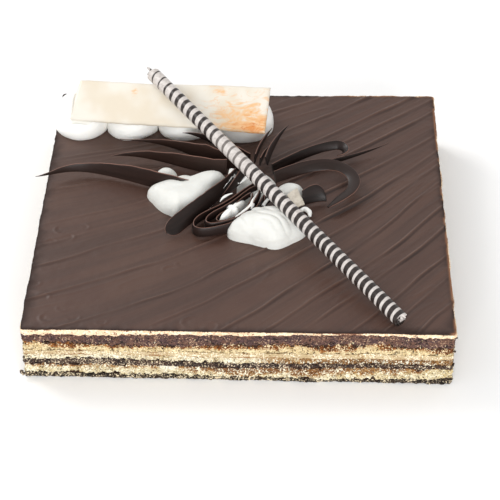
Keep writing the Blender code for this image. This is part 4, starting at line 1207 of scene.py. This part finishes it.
# ================================================================ the pencil
def build_pencil():
    near, far = PENCIL_NEAR, PENCIL_FAR
    axis = (far - near) / np.linalg.norm(far - near)
    side = np.cross(axis, (0, 0, 1.0))
    side /= np.linalg.norm(side)
    up = np.cross(side, axis)
    pitch = FILM + 0.30
    per = 56
    count = int(PENCIL_TURNS * per)
    turn = np.arange(count + 1) / per
    ang = 2 * math.pi * turn + 0.7
    ro = PENCIL_DIA / 2 - pitch * turn
    lengthwise = 260
    s = np.linspace(0, 1, lengthwise + 1)
    prof_r = np.concatenate([ro, (ro - FILM)[::-1]])
    prof_a = np.concatenate([ang, ang[::-1]])
    prof_t = np.concatenate([turn, turn[::-1]])
    n = len(prof_r)
    depth = prof_t / PENCIL_TURNS
    rag = 0.35 * vnoise(np.stack([prof_a * 2.2, np.zeros(n), np.zeros(n)], -1), 503)
    start = 0.8 * depth + 0.45 * vnoise(np.stack([prof_a * 1.7, np.full(n, 5.0), np.zeros(n)], -1), 505)
    stop = PENCIL_LENGTH - 2.0 + 9.0 * np.maximum(0.0, depth - 0.42) + rag
    dist = start[None] + (stop - start)[None] * s[:, None]
    A = np.broadcast_to(prof_a[None], dist.shape)
    q = np.stack([dist, np.cos(A) * 3, np.sin(A) * 3], -1)
    R = prof_r[None] + 0.05 * fbm(q, 5.0, 507, 2)
    P = (near + dist[..., None] * axis + (R * np.cos(A))[..., None] * side
         + (R * np.sin(A))[..., None] * up)
    verts = P.reshape(-1, 3)
    wall = grid_faces(lengthwise + 1, n, wrap=True)
    k = np.arange(count)
    cap0 = np.stack([k, k + 1, n - 2 - k, n - 1 - k], -1)
    cap1 = (cap0 + lengthwise * n)[:, ::-1]
    # the same way round as the walls
    faces = [wall, cap0[:, ::-1], cap1[:, ::-1]]
    turns = np.broadcast_to(prof_t[None], dist.shape).ravel()
    g = Graph("striped_chocolate", rough=0.30, spec=0.45)
    run, tw = g.attr("run"), g.attr("turn")
    p = g.pos
    waver = g.math("MULTIPLY", g.math("SUBTRACT", g.noise(p, 5.0, 2.0, 0.5), 0.5), 0.22)
    # stripes crowd together towards the near end
    count_ = g.math("SUBTRACT", g.math("MULTIPLY", run, 0.261738),
                    g.math("ADD", g.math("MULTIPLY", g.math("MULTIPLY", run, run), 0.000199432), 1.3337))
    phase = g.math("FRACT", g.math("ADD", g.math("ADD", count_, g.math("MULTIPLY", tw, PENCIL_HAND)),
                                   g.math("ADD", waver, PENCIL_PHASE)))
    # share of dark in a stripe: wide at the near end, hair lines at the far end
    share = g.math("SUBTRACT", 0.62, g.math("MULTIPLY", g.span(run, 55.0, 105.0), 0.14))
    share = g.math("SUBTRACT", share, g.math("MULTIPLY", g.math("MULTIPLY", g.span(run, 105.0, 122.0),
                                                                 g.span(run, 150.0, 136.0)), 0.16))
    share = g.math("SUBTRACT", share, g.math("MULTIPLY", g.span(run, 172.0, 190.0), 0.30))
    tri = g.math("MULTIPLY", g.math("ABSOLUTE", g.math("SUBTRACT", phase, 0.5)), 2.0)
    soft = g.noise(p, 1.2, 3.0, 0.6)
    edge = g.math("ADD", g.math("SUBTRACT", tri, share), g.math("MULTIPLY", g.math("SUBTRACT", soft, 0.5), 0.12))
    dark = g.span(edge, 0.09, -0.09)
    fade = g.math("MULTIPLY", g.span(run, 108.0, 122.0), g.span(run, 146.0, 134.0))
    white = g.mix(g.span(soft, 0.4, 0.7), PENCIL_WHITE, PENCIL_WHITE2)
    brown = g.mix(g.span(soft, 0.4, 0.7), PENCIL_DARK, PENCIL_DARK2)
    brown = g.mix(g.math("MULTIPLY", fade, 0.5), brown, srgb(150, 142, 136))
    c = g.mix(dark, white, brown)
    g.colour(c)
    g.bump(g.math("ADD", g.math("MULTIPLY", soft, 0.5), g.math("MULTIPLY", dark, 0.4)), 0.06, 0.5)
    piece("striped_scroll", verts, faces, g.mat, "striped_pencil",
          {"run": dist.ravel(), "turn": turns}, sharp=45)


PENCIL_HAND = 1.0
PENCIL_PHASE = 0.24
PENCIL_WHITE = srgb(206, 199, 194)
PENCIL_WHITE2 = srgb(186, 178, 173)
PENCIL_DARK = srgb(35, 27, 24)
PENCIL_DARK2 = srgb(50, 40, 36)


# ================================================================ the blades
F = 5                      # how much finer than the CAD along each blade


def bezier(p0, p1, p2, p3, t):
    s = 1.0 - t
    return tuple(s ** 3 * a + 3 * s * s * t * b + 3 * s * t * t * c + t ** 3 * d
                 for a, b, c, d in zip(p0, p1, p2, p3))


def bowed(root, tip, bows, n, rounded=False):
    n *= F
    dx, dy = tip[0] - root[0], tip[1] - root[1]
    nx, ny = -dy / math.hypot(dx, dy), dx / math.hypot(dx, dy)
    ctrl = [(root[0] + dx * f + nx * o, root[1] + dy * f + ny * o) for f, o in bows]
    at = [math.sin(0.5 * math.pi * i / n) if rounded else i / n for i in range(n + 1)]
    return [bezier(root, ctrl[0], ctrl[1], tip, t) for t in at]


def run_in(start, end, n):
    """Points of a straight lead from start up to, but not including, end."""
    n *= F
    return [(start[0] + (end[0] - start[0]) * i / n, start[1] + (end[1] - start[1]) * i / n) for i in range(n)]


def arc(start, heading, radius, sweep, n):
    n *= F
    x, y = start
    side = 1.0 if sweep > 0 else -1.0
    h = math.radians(heading)
    cx, cy = x - side * radius * math.sin(h), y + side * radius * math.cos(h)
    return [(cx + side * radius * math.sin(h + math.radians(sweep) * i / n),
             cy - side * radius * math.cos(h + math.radians(sweep) * i / n)) for i in range(1, n + 1)]


def straight(path, length, n):
    n *= F
    (ax, ay), (bx, by) = path[-2], path[-1]
    d = math.hypot(bx - ax, by - ay)
    return [(bx + (bx - ax) / d * length * i / n, by + (by - ay) / d * length * i / n)
            for i in range(1, n + 1)]


def taper(full, p, q, cap=1e9):
    return lambda s: min(cap, full * max(0.0, 1.0 - s ** p) ** q)


def spoon(full, root_part, tip_round):
    def width(s):
        grow_in = root_part + (1.0 - root_part) * math.sin(0.5 * math.pi * min(1.0, s / 0.55))
        end = math.sqrt(max(0.0, 1.0 - (max(0.0, s - 1 + tip_round) / tip_round) ** 2))
        return full * grow_in * end
    return width


def spoon_lift(full, root_part, tip_round):
    """Half of what the rounded end takes off the width, so that the end is
    round at both corners."""
    width = spoon(full, root_part, tip_round)
    grow = spoon(full, root_part, 1e-6)
    return lambda s: 0.5 * (grow(min(s, 1 - 1e-5)) - width(s))


def line(a, b, p=1.0):
    return lambda s: a + (b - a) * s ** p


def rest_then_rise(z0, z1, z2, p=3.0):
    return lambda s: z1 + (z0 - z1) * (1 - s) ** 6 + (z2 - z1) * s ** p


def petal(root, heading, length, breadth, curl, z_root, z_end, width, lean, n=20):
    n *= F
    h = math.radians(heading)
    ux, uy = math.cos(h), math.sin(h)
    pts = []
    for i in range(n + 1):
        a = math.radians(14.0) + (2 * math.pi - math.radians(28.0)) * i / n
        along = 0.5 * length * (1 - math.cos(a))
        across = (-0.5 * breadth * math.sin(a) * (0.72 + 0.28 * math.sin(0.5 * a) ** 2)
                  + curl * math.sin(math.pi * along / length) ** 2)
        pts.append((root[0] + ux * along - uy * across, root[1] + uy * along + ux * across))
    return dict(path=pts, z=lambda s: z_root + (z_end - z_root) * math.sin(math.pi * s) ** 0.7,
                width=lambda s: width * (0.7 + 0.3 * math.sin(math.pi * s)),
                lean=lambda s: lean, thick=1.0)


REST = TOP + GAP
N = 11
BLADES = {
    "blade_left_1": dict(path=run_in((-22.0, 4.4), (-30.0, 3.8), 3) + bowed((-30.0, 3.8), (-99.5, 9.5), ((0.78, -21.0), (0.78, -12.0)), N),
                         z=lambda s: REST + 1.6 * (1 - s) ** 8 + 6.3 * s ** 4,
                         width=lambda s: (0.66 + 0.34 * min(1.0, s / 0.1)) * taper(11.5, 1.6, 1.0, 9.8)(s), lean=lambda s: -6.0 - 6.0 * s),
    "blade_left_2": dict(path=bowed((-8.6, 18.0), (-65.3, 29.8), ((0.30, 0.2), (0.72, -11.8)), N),
                         z=rest_then_rise(REST + 2.8, REST + 0.6, 33.6, 3), width=taper(8.8, 1.8, 1.0),
                         lean=lambda s: -8.0),
    "blade_left_3": dict(path=bowed((-1.0, 20.6), (-62.2, 44.7), ((0.45, -2.2), (0.60, -14.4)), N),
                         z=rest_then_rise(REST + 2.9, REST, 33.0, 3), width=taper(15.0, 1.2, 1.5, 9.6),
                         lean=lambda s: -8.0),
    "blade_left_4": dict(path=bowed((2.0, 26.4), (-31.2, 45.2), ((0.45, -2.4), (0.85, -4.5)), 8),
                         z=line(32.6, 37.0, 1.5), width=taper(6.0, 2.0, 1.0), lean=lambda s: -8.0),
    "blade_left_5": dict(path=bowed((1.0, 23.8), (-21.0, 36.4), ((0.4, -1.6), (0.7, -1.8)), 6),
                         z=line(33.6, 34.2), width=taper(3.0, 1.5, 1.0), lean=lambda s: -18.0),
    "blade_back_1": dict(path=bowed((4.6, 27.6), (12.6, 51.5), ((0.33, 1.0), (0.67, 0.9)), 7),
                         z=line(31.9, 36.0), width=taper(6.0, 1.6, 1.0), lean=lambda s: -4.0),
    "blade_back_2": dict(path=bowed((7.2, 25.6), (11.6, 38.6), ((0.33, 0.3), (0.67, 0.3)), 5),
                         z=line(32.0, 34.6), width=taper(5.0, 1.6, 1.0), lean=lambda s: -4.0),
    "blade_back_3": dict(path=bowed((11.0, 26.0), (20.7, 54.6), ((0.33, 1.4), (0.67, 1.5)), 7),
                         z=line(32.0, 36.0), width=taper(5.2, 1.7, 1.0), lean=lambda s: 14.0),
    "blade_right_hook": dict(path=(lambda p: p + arc(p[-1], 0.0, 3.9, -176.0, 8))(
                                 bowed((13.6, 21.6), (44.4, 39.8), ((0.35, 2.4), (0.72, 3.6)), 9)),
                             z=lambda s: 31.9 + 1.6 * min(1.0, s * 1.6) + 0.8 * s ** 4,
                             width=lambda s: (5.6 - 1.4 * s) * min(1.0, 0.3 + 8.0 * (1 - s)),
                             lean=lambda s: 14.0 + 40.0 * s ** 2, anchor=0.3),
    "blade_right_spike": dict(path=bowed((28.0, 24.4), (69.8, 44.9), ((0.35, -0.6), (0.7, -1.2)), N),
                              z=lambda s: 29.7 + 2.9 * s ** 2.5, width=taper(3.4, 1.6, 1.0),
                              lean=lambda s: 8.0),
    "blade_right_loop": dict(path=(lambda p: p + straight(p, 13.0, 4))(
                                 (lambda p: p + arc(p[-1], 12.0, 12.2, -147.0, 10))(
                                     bowed((14.6, 11.0), (37.8, 22.8), ((0.4, 1.6), (0.72, 2.2)), 7))),
                             z=lambda s: 36.2 - 1.6 * s - 2.0 * s ** 2,
                             width=lambda s: (6.4 - 1.0 * s) * min(1.0, 0.3 + 6.0 * (1 - s)),
                             lean=lambda s: 16.0 + 60.0 * min(1.0, s * 2.0) ** 1.5, anchor=0.5),
    "blade_right_leaf": dict(path=bowed((28.6, -2.4), (39.4, 0.8), ((0.35, 0.4), (0.7, 0.8)), 9, True),
                             z=lambda s: 29.9, width=spoon(9.0, 0.80, 0.42),
                             lean=lambda s: 22.0 + 10.0 * s),
    "blade_front_leaf": dict(path=bowed((-3.4, 15.0), (-32.0, -29.8), ((0.30, 3.6), (0.70, 0.6)), 13, True),
                             z=lambda s: 32.8 - 3.2 * s, width=spoon(8.6, 0.66, 0.12),
                             lift=spoon_lift(8.6, 0.66, 0.12), lean=lambda s: -10.0 - 42.0 * s * s),
    "blade_front_narrow": dict(path=bowed((1.6, 15.6), (-10.2, -0.6), ((0.35, 1.6), (0.7, 1.6)), 8),
                               z=lambda s: 33.2, width=taper(7.4, 1.8, 0.9), lean=lambda s: -10.0),
    "petal_outer": petal((11.6, 6.8), 224.5, 47.0, 18.0, 3.6, 34.6, 29.7, 5.2, 6.0, 24),
    "petal_middle": petal((7.8, 2.2), 226.0, 35.0, 12.8, 2.6, 34.9, 29.9, 5.2, 6.0, 20),
    "petal_inner": petal((4.2, -2.4), 228.0, 24.0, 8.6, 1.6, 34.4, 29.8, 4.2, 6.0, 16),
    "petal_small": dict(path=bowed((15.2, -1.2), (10.6, -6.6), ((0.3, -0.6), (0.7, -0.8)), 7, True),
                        z=line(32.4, 32.0), width=spoon(5.4, 0.6, 0.35), lean=lambda s: -16.0),
}


def chocolate_material():
    g = Graph("dark_chocolate", rough=0.36, spec=0.26)
    v = g.vec(g.math("MULTIPLY", g.attr("run"), 0.07), g.attr("across"), g.attr("which"))
    comb = g.noise(v, 0.9, 4.0, 0.65)
    band = g.noise(v, 3.0, 2.0, 0.5)
    cloud = g.noise(g.pos, 8.0, 3.0, 0.5)
    c = g.mix(g.span(band, 0.38, 0.64), CHOC_A, CHOC_B)
    c = g.mix(g.math("MULTIPLY", g.span(comb, 0.55, 0.75), 0.5), c, CHOC_C)
    c = g.mix(g.math("MULTIPLY", g.attr("lift"), 0.8), c, CHOC_WARM)
    # painted highlight: the thin edges of each strip are lightened, as light catching them from above, strongest on
    # the left blades
    rim = g.math("MULTIPLY", g.span(g.math("ADD", g.attr("edge"), g.math("MULTIPLY", cloud, 0.04)), 0.955, 0.995), 0.9)
    c = g.mix(g.math("MULTIPLY", rim, g.attr("shine")), c, CHOC_EDGE_HIGHLIGHT)
    g.colour(c)
    g.rough(g.math("ADD", g.math("MULTIPLY", comb, 0.20), 0.28))
    g.bump(g.math("ADD", g.math("MULTIPLY", comb, 0.6), g.math("MULTIPLY", band, 0.5)), 0.10, 0.5)
    return g.mat


CHOC_A = srgb(36, 25, 22)
CHOC_B = srgb(27, 19, 16)
CHOC_C = srgb(50, 36, 31)
CHOC_WARM = srgb(74, 52, 43)
# painted highlight colour for the thin edges of the strips
CHOC_EDGE_HIGHLIGHT = srgb(140, 102, 88)
LIFT = {"blade_left_1": 0.15, "blade_left_2": 0.35, "blade_left_3": 0.35, "blade_right_loop": 0.15}


def build_blades():
    mat = chocolate_material()
    # across the strip: share of the width, half thickness as a share
    prof = [(0.0, 0.0), (0.012, 0.34), (0.04, 0.56), (0.12, 0.72), (0.28, 0.90), (0.5, 1.0),
            (0.72, 0.90), (0.88, 0.72), (0.96, 0.56), (0.988, 0.34), (1.0, 0.0)]
    ring = [(v, -t) for v, t in prof] + [(v, t) for v, t in prof[1:-1][::-1]]
    vs = np.array([r[0] for r in ring])
    ts = np.array([r[1] for r in ring])
    for index, (name, spec) in enumerate(BLADES.items()):
        path = np.array(spec["path"])
        z, width, lean = spec["z"], spec["width"], spec["lean"]
        thick, anchor, lift = spec.get("thick", 1.1), spec.get("anchor", 0.0), spec.get("lift", lambda s: 0.0)
        seg = np.hypot(*np.diff(path, axis=0).T)
        dist = np.concatenate([[0.0], np.cumsum(seg)])
        s = dist / dist[-1]
        m = len(path)
        t = np.empty_like(path)
        t[1:-1] = path[2:] - path[:-2]
        t[0], t[-1] = path[1] - path[0], path[-1] - path[-2]
        t /= np.hypot(t[:, 0], t[:, 1])[:, None]
        left = np.stack([-t[:, 1], t[:, 0], np.zeros(m)], -1)
        phi = np.radians([lean(q) for q in s])
        up = left * np.sin(phi)[:, None] + np.array((0, 0, 1.0)) * np.cos(phi)[:, None]
        out = left * np.cos(phi)[:, None] - np.array((0, 0, 1.0)) * np.sin(phi)[:, None]
        w = np.maximum([width(q) for q in s], 0.28)
        h = 0.5 * thick * np.minimum(1.0, 0.40 + 0.60 * w / 4.0)
        jit = vnoise(np.stack([dist / 7.0, np.full(m, 3.3 * index), np.zeros(m)], -1), 601)
        jit2 = vnoise(np.stack([dist / 2.2, np.full(m, 5.1 * index), np.zeros(m)], -1), 603)
        w = w * (1 + 0.035 * jit) + 0.10 * jit2 * np.minimum(1, w / 4)
        base = np.concatenate([path, np.array([[z(q)] for q in s])], -1) \
            + up * (np.array([lift(q) for q in s]) - anchor * w)[:, None]
        cup = 0.05 * w                                   # the strip is slightly dished
        rings = []
        for v, tt in zip(vs, ts):
            bow = cup * (1 - (2 * v - 1) ** 2)
            rings.append(base + up * (v * w)[:, None] + out * (tt * h - 0.6 * bow * 0.5)[:, None])
        p = np.stack(rings, 1)                           # (m, ring, 3)
        n = len(ring)
        faces = [grid_faces(m, n, wrap=True), np.arange(n)[::-1], np.arange((m - 1) * n, m * n)]
        verts = p.reshape(-1, 3)
        # faces must look out: check the sign of the volume
        a = verts[faces[0]]
        vol = np.einsum("ij,ij->i", a[:, 0], np.cross(a[:, 1], a[:, 2])).sum() \
            + np.einsum("ij,ij->i", a[:, 0], np.cross(a[:, 2], a[:, 3])).sum()
        if vol < 0:
            faces = [f[:, ::-1] if f.ndim == 2 else f[::-1] for f in faces]
        edge = np.broadcast_to(np.abs(2 * vs - 1)[None], (m, n))
        attrs = {"run": np.broadcast_to(dist[:, None], (m, n)),
                 "across": vs[None] * w[:, None],
                 "edge": edge, "which": np.full((m, n), 3.7 * index),
                 "lift": np.full((m, n), LIFT.get(name, 0.0)),
                 # shine: strength of the painted edge highlight, full on the left blades
                 "shine": np.full((m, n), 1.0 if "left" in name else 0.62)}
        piece(name + "_ribbon", verts, faces, mat, name, attrs, sharp=70)


# ================================================================ crumbs
def build_crumbs():
    """Loose bits left on the cut faces by the knife, joined in two pieces."""
    import bmesh
    bm = bmesh.new()
    bmesh.ops.create_icosphere(bm, subdivisions=2, radius=1.0)
    unit = np.array([v.co for v in bm.verts])
    tri = np.array([[v.index for v in f.verts] for f in bm.faces])
    bm.free()
    rng = np.random.default_rng(77)
    n = len(P_XY)

    def scatter(name, count, sizes, bands, mat, seed, extra=()):
        spots = []
        for _ in range(count):
            i = int(rng.integers(n))
            k, f, spread = bands[int(rng.integers(len(bands)))]
            x, y = P_XY[i]
            lo = float(joint(k - 1, np.array([x]), np.array([y]), None)[0])
            hi = float(joint(k, np.array([x]), np.array([y]), None)[0])
            zz = lo + (hi - lo) * (f + spread * rng.normal())
            zz = min(max(zz, 0.5), TOP - 1.2)
            r = sizes[0] + (sizes[1] - sizes[0]) * rng.random() ** 2.5
            w = float(wobble(np.array([[x, y, zz]]))[0] + lean_out(x, zz, P_N[i, 1]))
            spots.append((x + P_N[i, 0] * (w + r * 0.25), y + P_N[i, 1] * (w + r * 0.25), zz, r))
        spots += list(extra)
        vs, fs = [], []
        for j, (x, y, zz, r) in enumerate(spots):
            sc = 0.65 + 0.7 * rng.random(3)
            lump = 1 + 0.38 * vnoise(unit * 1.7 + 13.1 * j, seed)
            vs.append(unit * lump[:, None] * sc * r + np.array([x, y, max(zz, r * 0.6)]))
            fs.append(tri + len(unit) * j)
        verts, faces = np.concatenate(vs), np.concatenate(fs)
        verts[:, 2] = np.maximum(verts[:, 2], 0.02)
        zero = np.zeros(len(verts))
        piece(name, verts, [faces], mat, None, {"pore_shade": zero, "soak": zero, "pale": zero + 0.4,
                                                     "drag": zero, "rim": zero, "smear": zero})

    scatter("crumbs_pale", 900, (0.16, 0.42), [(1, 0.5, 0.3), (3, 0.5, 0.3), (5, 0.3, 0.3), (2, 0.5, 0.3), (6, 0.3, 0.4)],
            MAT_SPONGE[1], 701)
    scatter("crumbs_dark", 900, (0.16, 0.42), [(2, 0.9, 0.3), (2, 0.1, 0.3), (0, 0.8, 0.3), (6, 0.1, 0.2), (6, 0.9, 0.2), (5, 0.7, 0.3)],
            MAT_GANACHE_LOW, 703,
            [(-96.2, -92.3, 3.4, 1.15), (-95.7, -92.5, 2.4, 0.9), (-94.9, -92.7, 2.8, 0.8),
             (95.4, -90.6, 26.0, 0.55), (95.1, -91.2, 18.5, 0.5), (95.2, -91.0, 11.0, 0.55)])


# ================================================================ camera, light
def build_stage():
    me = bpy.data.meshes.new("floor")
    me.from_pydata([(-3, -3, 0), (3, -3, 0), (3, 3, 0), (-3, 3, 0)], [], [(0, 1, 2, 3)])
    floor = bpy.data.objects.new("floor", me)
    SCENE.collection.objects.link(floor)
    mat = bpy.data.materials.new("floor")
    mat.use_nodes = True
    b = mat.node_tree.nodes["Principled BSDF"]
    b.inputs["Base Color"].default_value = (0.98, 0.98, 0.98, 1)
    b.inputs["Roughness"].default_value = 0.9
    b.inputs["Specular IOR Level"].default_value = 0.1
    me.materials.append(mat)

    cam = bpy.data.cameras.new("camera")
    ob = bpy.data.objects.new("camera", cam)
    SCENE.collection.objects.link(ob)
    cam.lens = 130.88
    cam.sensor_width = 36.0
    cam.clip_start = 0.01
    e, yaw, roll = math.radians(39), math.radians(-1.5), math.radians(-0.09)
    fwd = Vector((math.sin(yaw) * math.cos(e), math.cos(yaw) * math.cos(e), -math.sin(e)))
    right = Vector((math.cos(yaw), -math.sin(yaw), 0))
    up = right.cross(fwd)
    r = math.cos(roll) * right + math.sin(roll) * up
    u = -math.sin(roll) * right + math.cos(roll) * up
    ob.matrix_world = Matrix(((r.x, u.x, -fwd.x, 0.02097), (r.y, u.y, -fwd.y, -0.68431),
                              (r.z, u.z, -fwd.z, 0.55457), (0, 0, 0, 1)))
    SCENE.camera = ob

    world = bpy.data.worlds.new("world")
    SCENE.world = world
    world.use_nodes = True
    bg = world.node_tree.nodes["Background"]
    bg.inputs[0].default_value = (1.0, 1.0, 1.0, 1)
    bg.inputs[1].default_value = WORLD

    for name, loc, target, size, power, colour in LIGHTS:
        li = bpy.data.lights.new(name, "AREA")
        li.shape = "RECTANGLE"
        li.size, li.size_y = size
        li.energy = power
        li.color = colour
        lo = bpy.data.objects.new(name, li)
        SCENE.collection.objects.link(lo)
        lo.location = loc
        lo.rotation_euler = (Vector(target) - Vector(loc)).to_track_quat("-Z", "Y").to_euler()
    SCENE.view_settings.view_transform = "Standard"
    SCENE.view_settings.look = "None"
    SCENE.view_settings.exposure = 0.0
    SCENE.view_settings.gamma = 1.0


WORLD = 0.74
LIGHTS = [
    ("key", (-0.75, 0.55, 0.72), (0, 0, 0.02), (0.60, 0.60), 6.6, (1.0, 0.99, 0.98)),
    ("front", (0.15, -1.1, 0.38), (0, 0, 0.02), (0.9, 0.5), 10.0, (1.0, 1.0, 1.0)),
]

build_layers()
build_glaze()
build_row()
build_dollops()
build_strands()
build_plaque()
build_pencil()
build_blades()
build_crumbs()
build_stage()

bpy.context.view_layer.update()
